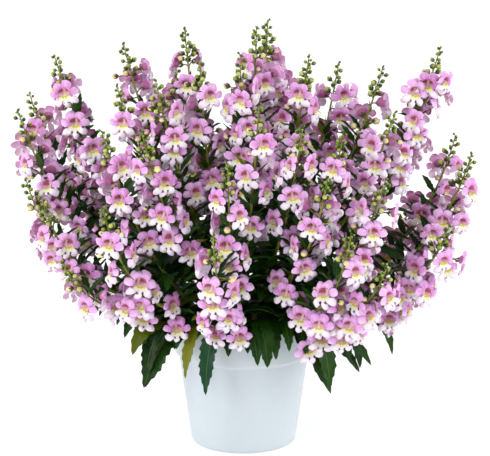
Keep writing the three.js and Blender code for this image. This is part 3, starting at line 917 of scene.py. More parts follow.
# Leaves: a toothed blade with raised edges, a groove over its midrib and a ridge below it
LARGE_TEETH = 7
SMALL_TEETH = 4
LARGE_COLUMNS = np.array([-1, -0.52, 0, 0.52, 1.0])
SMALL_COLUMNS = np.array([-1, 0, 1.0])
# The half width of a hanging and of a small leaf as a share of its width, the ripple of their edges, how
# far their sides fold up, and the radii of a hanging leaf's stalk
HANGING_HALF = 0.57
SMALL_HALF = 0.5
RIPPLE = 0.05
RIPPLE_TURNS = 17
RIPPLE_FROM = 0.2
FOLDS = (0.14, 0.34)
BLADE_THICKNESS = 0.5
MIDRIB_THICKNESS = 0.5
LEAF_STALK_RADII = (1.2, 0.8)
LEAF_STALK_ROWS = 8
LEAF_STALK_SIDES = 6


def leaf_rows(teeth):
    """The share of the length and the share of the half width for each row of a leaf's outline."""
    rows = [(0.0, 0.08), (0.06, 0.1), (0.13, 0.26), (0.2, 0.48)]
    pitch = 0.74 / teeth
    for tooth in range(teeth):
        for step, notch in ((0.0, 0.8), (0.72, 1.0)):
            share = 0.24 + (tooth + step) * pitch
            rows.append((share, notch * math.sin(math.pi * share ** 0.8) ** 0.8))
    rows.append((1.0, 0.0))
    return np.array(rows)


LARGE_ROWS = leaf_rows(LARGE_TEETH)
SMALL_ROWS = leaf_rows(SMALL_TEETH)


def add_leaf(piece, leaf, tone):
    """A leaf along its bend. Its stalk is the bend up to where its blade starts."""
    curve, bare, width, hanging = leaf["curve"], leaf["bare"], leaf["width"], leaf["hanging"]
    rows, stations = (LARGE_ROWS, LARGE_COLUMNS) if hanging else (SMALL_ROWS, SMALL_COLUMNS)
    share, half = rows[:, 0], rows[:, 1] * width * (HANGING_HALF if hanging else SMALL_HALF)
    points, directions = curve.places(bare + share * (curve.length - bare))
    level = np.broadcast_to(curve.side, points.shape)
    turn = (leaf["roll"] * DEGREE * share)[:, None]
    side = level * np.cos(turn) + np.cross(directions, level) * np.sin(turn)
    over = np.cross(directions, side)
    phase = look(0, ONE_TURN)
    ripple = RIPPLE * width * np.sin(share * RIPPLE_TURNS + phase) * (rows[:, 1] > RIPPLE_FROM)
    across = stations[None, :]
    fold = look(*FOLDS)
    lift = fold * half[:, None] * np.abs(across) + ripple[:, None] * across
    front = (points[:, None, :] + side[:, None, :] * (half[:, None] * across)[:, :, None]
             + over[:, None, :] * lift[:, :, None])
    thick = BLADE_THICKNESS * (1 - across ** 4) + MIDRIB_THICKNESS * (across == 0)
    thick = thick * np.minimum(1, half / 2)[:, None]
    back = front - over[:, None, :] * thick[:, :, None]
    columns = len(stations)
    quads = grid_faces(len(half), columns, False)
    along = np.repeat(share, columns)
    places = np.stack([along, np.tile(stations, len(half)), np.zeros(len(along))], 1)
    piece.add(front.reshape(-1, 3), quads, NO_FACES, BLADE, (*tone, 0.0), places)
    piece.add(back.reshape(-1, 3), quads[:, ::-1], NO_FACES, BLADE, (*tone, 1.0), places)
    if bare > 0:
        points, directions = curve.places(np.linspace(0, bare + 1, LEAF_STALK_ROWS))
        radii = np.linspace(*LEAF_STALK_RADII, LEAF_STALK_ROWS)
        body, quads, triangles = tube(points, directions, radii, LEAF_STALK_SIDES, curve.side)
        piece.add(body, quads, triangles, WOOD, (0.4, tone[0], 0))


# More blooms, buds and leaves than the solids hold, set among theirs
BOX_LOW = np.array(cad_low) / MM
BOX_HIGH = np.array(cad_high) / MM
TRIES_PER_BLOOM = 40
TRIES_BELOW = 60
SMALL_BUDS = 14
BUTTON_BUDS = 6

# The fuller spikes: how many more blooms they hold, the middle and the spread of the turns at which these
# stand, and how much farther out than the others they may hang. The rest take the usual or the back ones.
USUAL_BLOOMS = (1, 0, 170, 5)
BACK_BLOOMS = (5, 0, 130, 6)
FULL_SPIKES = {
    "right_1": (12, -20, 120, 12),
    "right_2": (9, 0, 120, 11),
    "right_3": (14, -10, 50, 13),
    "right_4": (7, 0, 100, 11),
    "right_front_2": (9, 5, 60, 12),
    "right_front_3": (6, 40, 90, 10),
    "right_middle_3": (4, 0, 120, 6),
    "back_right_2": (8, -50, 80, 12),
    "back_right_4": (10, -40, 60, 12),
    "middle_1": (4, 60, 90, 8),
    "middle_2": (6, 90, 90, 10),
    "middle_3": (9, -80, 60, 12),
    "top_left_1": (4, 180, 80, 7),
    "top_left_2": (4, 180, 80, 8),
    "left_1": (3, 0, 60, 4),
    "left_2": (6, 0, 120, 8),
    "left_3": (4, 50, 50, 5),
    "left_back_1": (6, 180, 90, 10),
    "left_back_2": (9, 0, 140, 9),
}

# Spikes that lean out low, and how many blooms hang below each of them
LOW_SPIKES = {
    "front_1": 6, "front_left_1": 3, "front_right_2": 2, "right_front_1": 2, "right_front_2": 6, "right_3": 6,
    "back_right_2": 3,
}


def in_box(point, margin):
    return bool(np.all(point - margin > BOX_LOW) and np.all(point + margin < BOX_HIGH))


# Small buds: the length below the tip that they fill, the reach, radius and ripeness of the lowest one,
# with what the last one lacks, how much these vary, and how far the buds rise
SMALL_BUD_ZONE = BUD_ZONE - 1
SMALL_BUD_TURNS = (-25, 25)
SMALL_BUD_REACH = 7.8
SMALL_BUD_REACH_FALL = 5.8
SMALL_BUD_REACHES = (-0.8, 0.8)
SMALL_BUD_RADIUS = 2.7
SMALL_BUD_RADIUS_FALL = 1.7
SMALL_BUD_SIZES = (0.85, 1.1)
SMALL_BUD_RIPENESS = 0.45
SMALL_BUD_RISE = 0.7

# Button buds: ranges of their place in bud zones below the tip, turn, reach, radius and ripeness
BUTTON_PLACES = (0.7, 2.6)
BUTTON_TURNS = (-150, 150)
BUTTON_REACHES = (9, 17)
BUTTON_RADII = (2.2, 3.4)
BUTTON_RIPENESS = (0.55, 1)
BUTTON_RISE = 0.2


def crowd_buds(spikes, room):
    """Unopened buds crowd the top of a spike and shrink towards its tip. Larger ones stand lower down."""
    for spike in spikes:
        length = spike.curve.length
        turn = look(0, 360)
        rows = []
        for i in range(SMALL_BUDS):
            share = (i + 0.5) / SMALL_BUDS
            reach = SMALL_BUD_REACH - SMALL_BUD_REACH_FALL * share + look(*SMALL_BUD_REACHES)
            distance = length - SMALL_BUD_ZONE * (1 - share)
            bud_turn = turn + i * GOLDEN_ANGLE + look(*SMALL_BUD_TURNS)
            radius = (SMALL_BUD_RADIUS - SMALL_BUD_RADIUS_FALL * share) * look(*SMALL_BUD_SIZES)
            ripeness = SMALL_BUD_RIPENESS - SMALL_BUD_RIPENESS * share
            rows.append((distance, bud_turn, SMALL_BUD_RISE, reach, radius, ripeness))
        for _ in range(BUTTON_BUDS):
            distance = length - BUD_ZONE * look(*BUTTON_PLACES)
            rows.append((distance, look(*BUTTON_TURNS), BUTTON_RISE, look(*BUTTON_REACHES),
                         look(*BUTTON_RADII), look(*BUTTON_RIPENESS)))
        for distance, bud_turn, rise, reach, radius, ripeness in rows:
            point, direction = spike.curve.at(distance)
            out = bud_way(spike, direction, bud_turn, rise)
            centre = point + out * reach
            spheres = [[*centre, radius]]
            if in_box(centre, radius) and room.is_clear(spheres, spike.name, 0.0):
                room.take(spheres, spike.name, True)
                spike.more_buds.append((point, centre, out, radius, ripeness))


# Added blooms press on their neighbours by this much at most, by somewhat smaller spheres, and stay this
# far inside the box of the solids. Their nod, roll in degrees and size vary within these ranges, and they
# swing to the side by up to so many degrees.
BLOOM_PRESS = 1.1
SMALLER_SPHERES = 0.8
BLOOM_MARGIN = 12
MORE_NODS = (-0.3, 0.3)
MORE_ROLLS = (-18, 18)
MORE_SIZES = (0.86, 1.0)
MORE_SWING = 45
MORE_REACHES = (-0.1, 1.0)

# Blooms that hang below a spike: up to which share of it and from how far below its foot, ranges of their
# reach, nod and lift, and how far to the side they turn and swing
LOW_SHARE = 0.6
LOW_START = 6
LOW_TURN = 90
LOW_REACHES = (17, 27)
LOW_NODS = (-0.3, 0.1)
LOW_SWING = 30
LOW_LIFTS = (-1.4, -0.5)


def fit_bloom(spike, room, distance, turn, reach, nods, swing, lifts=None):
    """Adds a bloom where it fits. It may press a little on its neighbours, as the real ones do."""
    nod = look(*nods)
    roll = look(*MORE_ROLLS) * DEGREE
    size = look(*MORE_SIZES)
    side_swing = look(-swing, swing) * DEGREE
    lift = look(*lifts) if lifts else STALK_LIFT
    bloom = Bloom(spike, distance, turn, reach, nod, roll, size, side_swing, lift)
    spheres = bloom.spheres(SMALLER_SPHERES)
    if in_box(bloom.centre, BLOOM_MARGIN) and room.is_clear(spheres, spike.name, -BLOOM_PRESS):
        room.take(spheres, spike.name, True)
        spike.more_blooms.append(bloom)


def crowd_blooms(spikes, room):
    """More blooms on each spike, until it has as many as it wants or has had its tries."""
    for spike in spikes:
        usual = BACK_BLOOMS if spike.name.startswith("back") else USUAL_BLOOMS
        wanted, middle, spread, slack = FULL_SPIKES.get(spike.name, usual)
        for _ in range(wanted * TRIES_PER_BLOOM):
            distance = look(spike.foot + 4, spike.curve.length - BUD_ZONE + 8)
            turn = (middle + look(-spread, spread)) * DEGREE
            reach = BLOOM_REACH + slack * look(*MORE_REACHES)
            fit_bloom(spike, room, distance, turn, reach, MORE_NODS, MORE_SWING)
            if len(spike.more_blooms) == wanted:
                break


def hang_blooms(spikes, room):
    """Blooms that hang below the low part of the spikes that lean out most."""
    for spike in spikes:
        wanted = len(spike.more_blooms) + LOW_SPIKES.get(spike.name, 0)
        for _ in range(TRIES_BELOW):
            if len(spike.more_blooms) >= wanted:
                break
            highest = spike.foot + LOW_SHARE * (spike.curve.length - spike.foot)
            distance = look(spike.foot - LOW_START, highest)
            turn = look(-LOW_TURN, LOW_TURN) * DEGREE
            fit_bloom(spike, room, distance, turn, look(*LOW_REACHES), LOW_NODS, LOW_SWING, LOW_LIFTS)


LEAST_FALL = 0.04


def arched_leaf(point, heading, length, fall, lift):
    """A bend that leaves a stem, arches by lift and ends lower by fall, as shares of its length."""
    drop = -fall * length if abs(fall) > LEAST_FALL else -LEAST_FALL * length
    away = toward(heading) * length + UP * drop
    return Bend(point, point + away, 0.5, 0.5 + lift * length / drop)


# More leaves that hang over the rim: stem, tip, greatest width, roll at the tip, and the share of the way
# out and the height of the middle of the bend
MORE_HANGING_LEAVES = [
    ("front_left", (-103, -70, 104), 20, -60, 0.86, 152),
    ("front_left", (-80, -66, 108), 17, -30, 0.86, 152),
    ("front_left", (-93, -66, 71), 28, -40, 0.55, 152),
    ("left_middle", (-62, -78, 112), 16, -20, 0.86, 152),
    ("front", (-14, -95, 110), 17, -10, 0.86, 152),
    ("left_middle", (4, -92, 112), 19, 5, 0.86, 152),
    ("front", (13, -104, 104), 16, 15, 0.86, 152),
    ("right_front", (58, -86, 108), 15, 10, 0.86, 152),
    ("front_right", (81, -78, 69), 24, 10, 0.5, 152),
    ("right_front", (108, -66, 86), 22, 25, 0.5, 150),
    ("right_front", (119, -64, 92), 17, 35, 0.6, 154),
    ("front_right", (30, -92, 106), 18, -5, 0.86, 152),
    ("right_front", (70, -74, 116), 16, 25, 0.86, 152),
    ("right_front", (92, -76, 112), 15, 35, 0.86, 152),
    ("right", (112, -34, 106), 16, 45, 0.86, 152),
    ("right", (98, -8, 108), 17, 40, 0.86, 152),
    ("left", (-112, -28, 108), 17, -50, 0.86, 152),
    ("back_left", (-84, 62, 106), 17, -10, 0.86, 152),
    ("back", (46, 92, 104), 16, 10, 0.86, 152),
    ("back_right", (88, 66, 108), 17, 15, 0.86, 152),
]

# Where the added hanging leaves leave their stem and where their blade starts, as shares
MORE_HANGING_PLACES = (0.3, 0.8)
MORE_HANGING_BARE = 0.22

# Leaves stand in pairs: on the trunk at these shares of its height, and up to so far along each spike.
# The highest ones fall less, stand closer to upright and are smaller.
TRUNK_PLACES = (0.2, 0.4, 0.6, 0.8, 1.0)
TRUNK_FALLS = (0.0, 0.4)
PAIR_STARTS = (1, 6)
PAIR_STEPS = (6, 9)
PAIRS_ALONG_SPIKE = 90
RISE_START = 40
RISE_LENGTH = 70
PAIR_FALLS = (-0.25, 0.3)
FALL_LESS = 0.9
SHRINK = 0.62

# A leaf of a pair: ranges of its length, width as a share of it, fall, arch and roll, the turns tried
# where it is crowded, how much it may press on others, and how far it stays inside the box of the solids
PAIR_TURNS = (-15, 15)
PAIR_LENGTHS = (38, 60)
PAIR_WIDTHS = (0.3, 0.4)
PAIR_SHIFTS = (0, 25, -25, 50, -50, 80)
PAIR_FALL_RANGE = (-0.1, 0.1)
PAIR_ARCHES = (0.1, 0.3)
PAIR_ROLLS = (-40, 40)
LEAF_PRESS = 1.2
LEAF_MARGIN = 8
PAIR_SPHERE_START = 8
PAIR_SPHERE_STEP = 5
PAIR_SPHERE_SHARE = 0.2


def pair_places(stem):
    """Where the pairs of leaves of a stem stand, how much they fall and how large they are."""
    trunk = Bend(stem.collar, stem.fork, 0.5, 0.5)
    places = [(trunk.at(share * trunk.length)[0], look(*TRUNK_FALLS), 1.0) for share in TRUNK_PLACES]
    for spike in stem.spikes:
        distance = spike.start + look(*PAIR_STARTS)
        while distance < spike.foot + PAIRS_ALONG_SPIKE:
            rise = max(0.0, min(1.0, (distance - spike.foot + RISE_START) / RISE_LENGTH))
            fall = look(*PAIR_FALLS) - FALL_LESS * rise
            places.append((spike.curve.at(distance)[0], fall, 1 - SHRINK * rise))
            distance += look(*PAIR_STEPS)
    return places


def fit_pair_leaf(stem, room, point, turn, fall, shrink):
    """One leaf of a pair, turned aside where it is crowded and left out where no turn helps."""
    length = look(*PAIR_LENGTHS) * shrink
    width = length * look(*PAIR_WIDTHS)
    for shift in PAIR_SHIFTS:
        leaf_fall = fall + look(*PAIR_FALL_RANGE)
        curve = arched_leaf(point, (turn + shift) * DEGREE, length, leaf_fall, look(*PAIR_ARCHES))
        spheres = spheres_along(curve, PAIR_SPHERE_START, curve.length, PAIR_SPHERE_STEP,
                                width * PAIR_SPHERE_SHARE)
        if in_box(curve.points[-1], LEAF_MARGIN) and room.is_clear(spheres, stem.name, -LEAF_PRESS):
            room.take(spheres, stem.name, True)
            stem.grow_leaf(curve, 0, width, look(*PAIR_ROLLS))
            break


def crowd_leaves(stems, room):
    """More hanging leaves, and pairs of leaves up every trunk, branch and spike, each square to the last."""
    for name, tip, width, roll, out_share, arch in MORE_HANGING_LEAVES:
        stem = stem_named(stems, name)
        start = stem.collar + (stem.fork - stem.collar) * look(*MORE_HANGING_PLACES)
        curve = Bend(start, vector(*tip), out_share, (arch - start[2]) / (tip[2] - start[2]))
        stem.grow_leaf(curve, MORE_HANGING_BARE * curve.length, width, roll, True)
    for stem in stems:
        places = pair_places(stem)
        turn = look(0, 360)
        for point, fall, shrink in places:
            turn += 90 + look(*PAIR_TURNS)
            for half in (0, 180):
                fit_pair_leaf(stem, room, point, turn + half, fall, shrink)


# Shaders

def rgb(red, green, blue):
    """A colour from 0 to 255 as linear light."""
    shares = [value / 255 for value in (red, green, blue)]
    return (*[s / 12.92 if s < 0.04045 else ((s + 0.055) / 1.055) ** 2.4 for s in shares], 1.0)


class Nodes:
    """Short calls that add nodes to a tree and link them. A value is a socket, a number or a colour."""

    def __init__(self, tree):
        self.tree = tree

    def feed(self, socket, value):
        if isinstance(value, bpy.types.NodeSocket):
            self.tree.links.new(value, socket)
        else:
            socket.default_value = value

    def add(self, kind, inputs, output=0, **settings):
        node = self.tree.nodes.new(kind)
        for title, value in settings.items():
            setattr(node, title, value)
        for key, value in inputs.items():
            self.feed(node.inputs[key], value)
        return node.outputs[output]

    def attribute(self, title):
        """The three numbers of an attribute."""
        whole = self.add("ShaderNodeAttribute", {}, "Vector", attribute_name=title)
        split = self.tree.nodes.new("ShaderNodeSeparateXYZ")
        self.tree.links.new(whole, split.inputs[0])
        return whole, *split.outputs

    def math(self, operation, a, b=0.0):
        return self.add("ShaderNodeMath", {0: a, 1: b}, operation=operation)

    def size(self, a):
        return self.math("ABSOLUTE", a)

    def times(self, *values):
        whole = values[0]
        for value in values[1:]:
            whole = self.math("MULTIPLY", whole, value)
        return whole

    def away(self, a, b):
        """The length of a flat vector."""
        return self.math("SQRT", self.math("ADD", self.math("MULTIPLY", a, a), self.math("MULTIPLY", b, b)))

    def step(self, value, low, high, to_low=0.0, to_high=1.0):
        """A smooth step between two values. It falls where high is less than low."""
        ends = {"Value": value, "From Min": low, "From Max": high, "To Min": to_low, "To Max": to_high}
        return self.add("ShaderNodeMapRange", ends, interpolation_type="SMOOTHSTEP")

    def mix(self, share, a, b):
        return self.add("ShaderNodeMix", {0: share, 6: a, 7: b}, 2, data_type="RGBA")

    def group(self, tree, **inputs):
        node = self.tree.nodes.new("ShaderNodeGroup")
        node.node_tree = tree
        for title, value in inputs.items():
            self.feed(node.inputs[title], value)
        return node.outputs


def effect(title, inputs, outputs):
    """An empty node group with named sockets, for an effect that several materials use."""
    tree = bpy.data.node_groups.new(title, "ShaderNodeTree")
    for name, kind, value in inputs:
        socket = tree.interface.new_socket(name, in_out="INPUT", socket_type=kind)
        if value is not None:
            socket.default_value = value
    for name in outputs:
        tree.interface.new_socket(name, in_out="OUTPUT", socket_type="NodeSocketFloat")
    given = tree.nodes.new("NodeGroupInput")
    put_out = tree.nodes.new("NodeGroupOutput")
    return tree, Nodes(tree), given.outputs, put_out.inputs


def mottle_effect():
    """Soft cloudy variation: a mask round a half, and a height with finer grain in it."""
    inputs = [("Vector", "NodeSocketVector", None), ("Scale", "NodeSocketFloat", 0.2),
              ("Strength", "NodeSocketFloat", 0.5)]
    tree, nodes, given, put_out = effect("mottle", inputs, ["Mask", "Height"])
    broad = nodes.add("ShaderNodeTexNoise", {"Vector": given["Vector"], "Scale": given["Scale"],
                                             "Detail": 3.0, "Roughness": 0.55})
    fine = nodes.add("ShaderNodeTexNoise", {"Vector": given["Vector"],
                                            "Scale": nodes.times(given["Scale"], 5.0), "Detail": 2.0})
    centred = nodes.math("SUBTRACT", broad, 0.5)
    mask = nodes.math("ADD", nodes.times(centred, given["Strength"], 2.0), 0.5)
    nodes.feed(put_out["Mask"], mask)
    height = nodes.math("ADD", nodes.times(broad, 0.6), nodes.times(fine, 0.4))
    nodes.feed(put_out["Height"], nodes.times(height, given["Strength"]))
    return tree


def vein_effect():
    """Thin repeated lines across a position, which grow finer as Width falls."""
    inputs = [("Position", "NodeSocketFloat", 0.0), ("Count", "NodeSocketFloat", 8.0),
              ("Width", "NodeSocketFloat", 0.2), ("Waver", "NodeSocketFloat", 0.0)]
    tree, nodes, given, put_out = effect("veins", inputs, ["Mask"])
    place = nodes.math("ADD", nodes.times(given["Position"], given["Count"]), given["Waver"])
    wave = nodes.size(nodes.math("SINE", nodes.times(place, math.pi)))
    nodes.feed(put_out["Mask"], nodes.step(wave, given["Width"], 0.0))
    return tree


mottle = mottle_effect()
veins = vein_effect()


def new_material(title, **settings):
    """A material with its own shader. The settings are plain values of the shader's sockets."""
    material = bpy.data.materials.new(title)
    material.use_nodes = True
    nodes = Nodes(material.node_tree)
    shader = material.node_tree.nodes["Principled BSDF"]
    for name, value in settings.items():
        shader.inputs[name.replace("_", " ")].default_value = value
    return material, nodes, shader


def dress(nodes, shader, colour, roughness, height, strength, distance):
    """Gives a shader its colour, its roughness and its relief."""
    nodes.feed(shader.inputs["Base Color"], colour)
    nodes.feed(shader.inputs["Roughness"], roughness)
    normal = nodes.add("ShaderNodeBump", {"Height": height, "Strength": strength, "Distance": distance})
    nodes.feed(shader.inputs["Normal"], normal)


def lobe_colour(nodes, cloud, lines, x, z, edge, tint, oval):
    """Lilac upper lobes with pale edges and veins, and nearly white lower ones."""
    upness = nodes.math("DIVIDE", z, nodes.math("MAXIMUM", nodes.away(x, z), 0.5))
    lower = nodes.step(upness, -0.3, -0.42)
    lilac = nodes.mix(tint, rgb(206, 126, 196), rgb(228, 172, 223))
    lilac = nodes.mix(nodes.step(edge, 0.35, 1.0, 0, 0.45), lilac, rgb(231, 184, 228))
    # Darker towards the throat: partly the lobes' own deeper lilac, partly painted shade round the throat's
    # mouth.
    lilac = nodes.mix(nodes.step(oval, 1.7, 1.02, 0, 0.45), lilac, rgb(182, 100, 160))
    pale_side = nodes.times(nodes.step(upness, 0.35, -0.25), nodes.step(edge, 0.1, 0.9, 0, 0.75))
    lilac = nodes.mix(pale_side, lilac, rgb(240, 218, 242))
    pale = nodes.mix(nodes.step(edge, 0.45, 1.0, 0, 0.6), rgb(234, 228, 230), rgb(224, 186, 220))
    cream = nodes.times(nodes.step(oval, 1.9, 1.2), nodes.step(nodes.size(x), 5.0, 3.6))
    pale = nodes.mix(cream, pale, rgb(240, 236, 196))
    skin = nodes.mix(lower, lilac, pale)
    skin = nodes.mix(nodes.times(lines, nodes.step(edge, 1.0, 0.1, 0, 0.35)), skin, rgb(200, 118, 192))
    skin = nodes.mix(nodes.step(cloud, 0.4, 0.75, 0, 0.4), skin, rgb(250, 218, 248))
    return nodes.mix(nodes.step(cloud, 0.45, 0.15, 0, 0.35), skin, rgb(204, 128, 196)), lower


def lip_marks(nodes, skin, cloud, x, z, back, oval):
    """A toothed yellow patch below the throat, and painted shade round the two slits of the lower lip, where
    the gaps between the lobes look dark.
    """
    aside = nodes.size(x)
    teeth = nodes.size(nodes.math("SINE", nodes.times(x, math.pi / 3.0)))
    reach = nodes.math("ADD", nodes.times(teeth, 0.6), 0.4)
    reach = nodes.math("SUBTRACT", reach, nodes.times(nodes.math("SUBTRACT", oval, 1.0), 0.8))
    reach = nodes.math("ADD", reach, nodes.times(nodes.math("SUBTRACT", cloud, 0.5), 2.2))
    yellow = nodes.times(nodes.step(reach, 0.1, 0.6), nodes.step(oval, 0.9, 1.0), nodes.step(z, 1.0, 0.2),
                         nodes.step(aside, 5.0, 4.4), nodes.step(back, 0.5, 0.4))
    patch = nodes.mix(nodes.step(oval, 1.05, 1.55), rgb(184, 188, 20), rgb(238, 230, 110))
    skin = nodes.mix(yellow, skin, patch)
    # Painted shade: dark colour round the two slits of the lower lip, where the gaps between the lobes look
    # dark.
    slit_shade_distance = nodes.away(nodes.math("SUBTRACT", aside, 2.5), nodes.math("ADD", z, 6.9))
    return nodes.mix(nodes.step(slit_shade_distance, 1.4, 0.7, 0, 0.9), skin, rgb(104, 52, 84))


def throat_colour(nodes, cloud, x, z, oval):
    """A magenta throat with a striped pale floor, painted shade towards its deepest part, and a pale crest
    that is partly its own cream colour and partly a painted highlight.
    """
    throat = nodes.mix(nodes.step(z, 2.6, 5.0), rgb(172, 84, 124), rgb(176, 104, 112))
    stripes = nodes.group(veins, Position=x, Count=0.7, Width=0.8, Waver=cloud)["Mask"]
    floor_colour = nodes.mix(nodes.times(stripes, 0.6), rgb(226, 190, 196), rgb(172, 84, 128))
    throat = nodes.mix(nodes.step(z, 2.6, 0.6), throat, floor_colour)
    # Painted shade: darker towards the deep middle of the throat, where the cup is shaded.
    throat = nodes.mix(nodes.step(oval, 0.8, 0.3, 0, 0.2), throat, rgb(112, 60, 84))
    # The pale ridge is partly its own cream colour and partly a painted highlight.
    ridge_and_highlight = nodes.times(nodes.step(nodes.size(x), 1.5, 0.5), nodes.step(z, 5.6, 4.4),
                        nodes.step(cloud, 0.1, 0.5))
    return nodes.mix(ridge_and_highlight, throat, rgb(240, 214, 206))


def petal_skin():
    """The places of the petals hold right, up and how far towards the edge. Their tones hold a tint, the
    side (0 front, 1 back) and the depth."""
    material, nodes, shader = new_material("petal_skin", Subsurface_Weight=0.15, Subsurface_Scale=0.003,
                                           Specular_IOR_Level=0.3)
    whole, x, z, edge = nodes.attribute("place")
    _, tint, back, depth = nodes.attribute("tone")
    cloud, cloud_height = nodes.group(mottle, Vector=whole, Scale=0.35, Strength=0.5)
    oval = nodes.away(nodes.times(x, 1 / THROAT_WIDTH),
                      nodes.times(nodes.math("SUBTRACT", z, THROAT_CENTRE), 1 / THROAT_HEIGHT))
    angle = nodes.math("ARCTAN2", x, z)
    lines = nodes.group(veins, Position=angle, Count=9.0, Width=0.3, Waver=nodes.times(cloud, 0.8))["Mask"]
    skin, lower = lobe_colour(nodes, cloud, lines, x, z, edge, tint, oval)
    skin = lip_marks(nodes, skin, cloud, x, z, back, oval)
    inside = nodes.step(oval, 1.03, 0.93)
    skin = nodes.mix(inside, skin, throat_colour(nodes, cloud, x, z, oval))
    behind = nodes.mix(nodes.step(depth, -0.8, -2.6), rgb(224, 180, 220), rgb(180, 104, 154))
    behind = nodes.mix(nodes.times(lower, 0.7), behind, rgb(240, 226, 240))
    skin = nodes.mix(nodes.step(back, 0.4, 0.6, 0, 0.9), skin, behind)
    height = nodes.math("SUBTRACT", cloud_height, nodes.times(lines, 0.25))
    dress(nodes, shader, skin, nodes.step(cloud, 0.2, 0.8, 0.5, 0.7), height, 0.4, 0.0006)
    return material


def leaf_blade():
    """The places of a leaf hold how far along and across it a point lies, and its tones a shade, how
    yellow (above zero) or blue-green (below) it has turned, and the side."""
    material, nodes, shader = new_material("leaf_blade", Specular_IOR_Level=0.13)
    _, along, across, _ = nodes.attribute("place")
    _, shade, turned, back = nodes.attribute("tone")
    size = nodes.size(across)
    place = nodes.add("ShaderNodeCombineXYZ", {
        0: nodes.times(along, 9.0), 1: nodes.times(across, 1.6), 2: nodes.times(shade, 90.0)})
    cloud, cloud_height = nodes.group(mottle, Vector=place, Scale=1.0, Strength=0.7)
    midrib = nodes.step(size, 0.09, 0.02)
    slanted = nodes.math("SUBTRACT", along, nodes.times(size, 0.14))
    lines = nodes.group(veins, Position=slanted, Count=float(LARGE_TEETH), Width=0.14, Waver=0.0)["Mask"]
    lines = nodes.times(lines, nodes.step(size, 1.0, 0.6))
    skin = nodes.mix(shade, rgb(5, 32, 3), rgb(26, 64, 9))
    skin = nodes.mix(nodes.step(cloud, 0.35, 0.85, 0, 0.4), skin, rgb(50, 88, 16))
    skin = nodes.mix(nodes.times(lines, 0.3), skin, rgb(60, 96, 28))
    skin = nodes.mix(nodes.step(back, 0.4, 0.6, 0, 0.6), skin, rgb(54, 88, 36))
    skin = nodes.mix(nodes.step(turned, 0.1, 0.9, 0, 0.85), skin, rgb(118, 120, 20))
    skin = nodes.mix(nodes.step(turned, 0.0, -1.0, 0, 0.75), skin, rgb(16, 60, 42))
    skin = nodes.mix(nodes.times(midrib, 0.4), skin, rgb(88, 118, 42))
    height = nodes.math("SUBTRACT", nodes.times(cloud_height, 0.5), nodes.times(lines, 0.5))
    height = nodes.math("SUBTRACT", height, nodes.times(midrib, 0.6))
    dress(nodes, shader, skin, nodes.step(cloud, 0.2, 0.8, 0.3, 0.46), height, 0.5, 0.0008)
    return material


def stalk_skin(title, young, old, aged):
    """The skin of stems, stalks and calyxes: young green, dull green and brown by the tone's first number."""
    material, nodes, shader = new_material(title, Specular_IOR_Level=0.3)
    _, kind, chance, _ = nodes.attribute("tone")
    place = nodes.add("ShaderNodeNewGeometry", {}, "Position")
    cloud, cloud_height = nodes.group(mottle, Vector=place, Scale=420.0, Strength=0.8)
    skin = nodes.mix(nodes.step(kind, 0.15, 0.4), young, old)
    skin = nodes.mix(nodes.step(kind, 0.45, 0.8), skin, aged)
    skin = nodes.mix(nodes.step(cloud, 0.3, 0.9, 0, 0.45), skin, rgb(138, 150, 72))
    skin = nodes.mix(nodes.times(chance, 0.25), skin, rgb(110, 78, 58))
    dress(nodes, shader, skin, nodes.step(cloud, 0.2, 0.8, 0.5, 0.72), cloud_height, 0.4, 0.0004)
    return material


def bud_skin():
    """The places of a bud hold how far up its skin looks, how far forward a point lies, and ripeness."""
    material, nodes, shader = new_material("bud_skin")
    _, upness, forward, ripe = nodes.attribute("place")
    place = nodes.add("ShaderNodeNewGeometry", {}, "Position")
    cloud, cloud_height = nodes.group(mottle, Vector=place, Scale=500.0, Strength=0.8)
    green = nodes.mix(cloud, rgb(86, 114, 34), rgb(164, 180, 58))
    cream = nodes.mix(cloud, rgb(218, 208, 112), rgb(238, 232, 160))
    skin = nodes.mix(nodes.step(ripe, 0.25, 0.6), green, cream)
    blush = nodes.times(nodes.step(upness, -0.1, 0.6), nodes.step(ripe, 0.45, 0.8))
    skin = nodes.mix(nodes.times(blush, 0.85), skin, rgb(216, 134, 198))
    folds = nodes.group(veins, Position=forward, Count=1.4, Width=0.2, Waver=cloud)["Mask"]
    skin = nodes.mix(nodes.times(folds, 0.25), skin, rgb(120, 120, 40))
    height = nodes.math("SUBTRACT", cloud_height, folds)
    dress(nodes, shader, skin, nodes.step(cloud, 0.2, 0.8, 0.42, 0.6), height, 0.3, 0.0004)
    return material


def pot_plastic():
    """Pale plastic with faint upright scuffs. Painted light makes the rim band a little lighter, and painted
    shade makes the foot darker.
    """
    material, nodes, shader = new_material("pot_plastic")
    whole, _, _, z = nodes.attribute("place")
    cloud, cloud_height = nodes.group(mottle, Vector=whole, Scale=0.03, Strength=0.6)
    _, grain_height = nodes.group(mottle, Vector=whole, Scale=1.6, Strength=0.7)
    skin = nodes.mix(cloud, rgb(188, 198, 205), rgb(198, 206, 212))
    upright = nodes.add("ShaderNodeVectorMath", {0: whole, 1: (0.6, 0.6, 0.06)}, operation="MULTIPLY")
    scuff = nodes.add("ShaderNodeTexNoise", {"Vector": upright, "Scale": 1.0, "Detail": 4.0})
    skin = nodes.mix(nodes.step(scuff, 0.66, 0.8, 0, 0.25), skin, rgb(184, 194, 202))
    # Painted light: the rim band is a little lighter, against the shade of the leaves over it.
    skin = nodes.mix(nodes.step(z, BAND_FOOT - 1, BAND_FOOT + 3, 0, 0.6), skin, rgb(210, 218, 223))
    # Painted shade: darker at the foot, near the floor.
    skin = nodes.mix(nodes.step(z, 9.0, 0.0, 0, 0.3), skin, rgb(180, 190, 196))
    height = nodes.math("ADD", grain_height, nodes.times(cloud_height, 2.0))
    dress(nodes, shader, skin, nodes.step(scuff, 0.4, 0.8, 0.36, 0.56), height, 0.12, 0.0005)
    return material


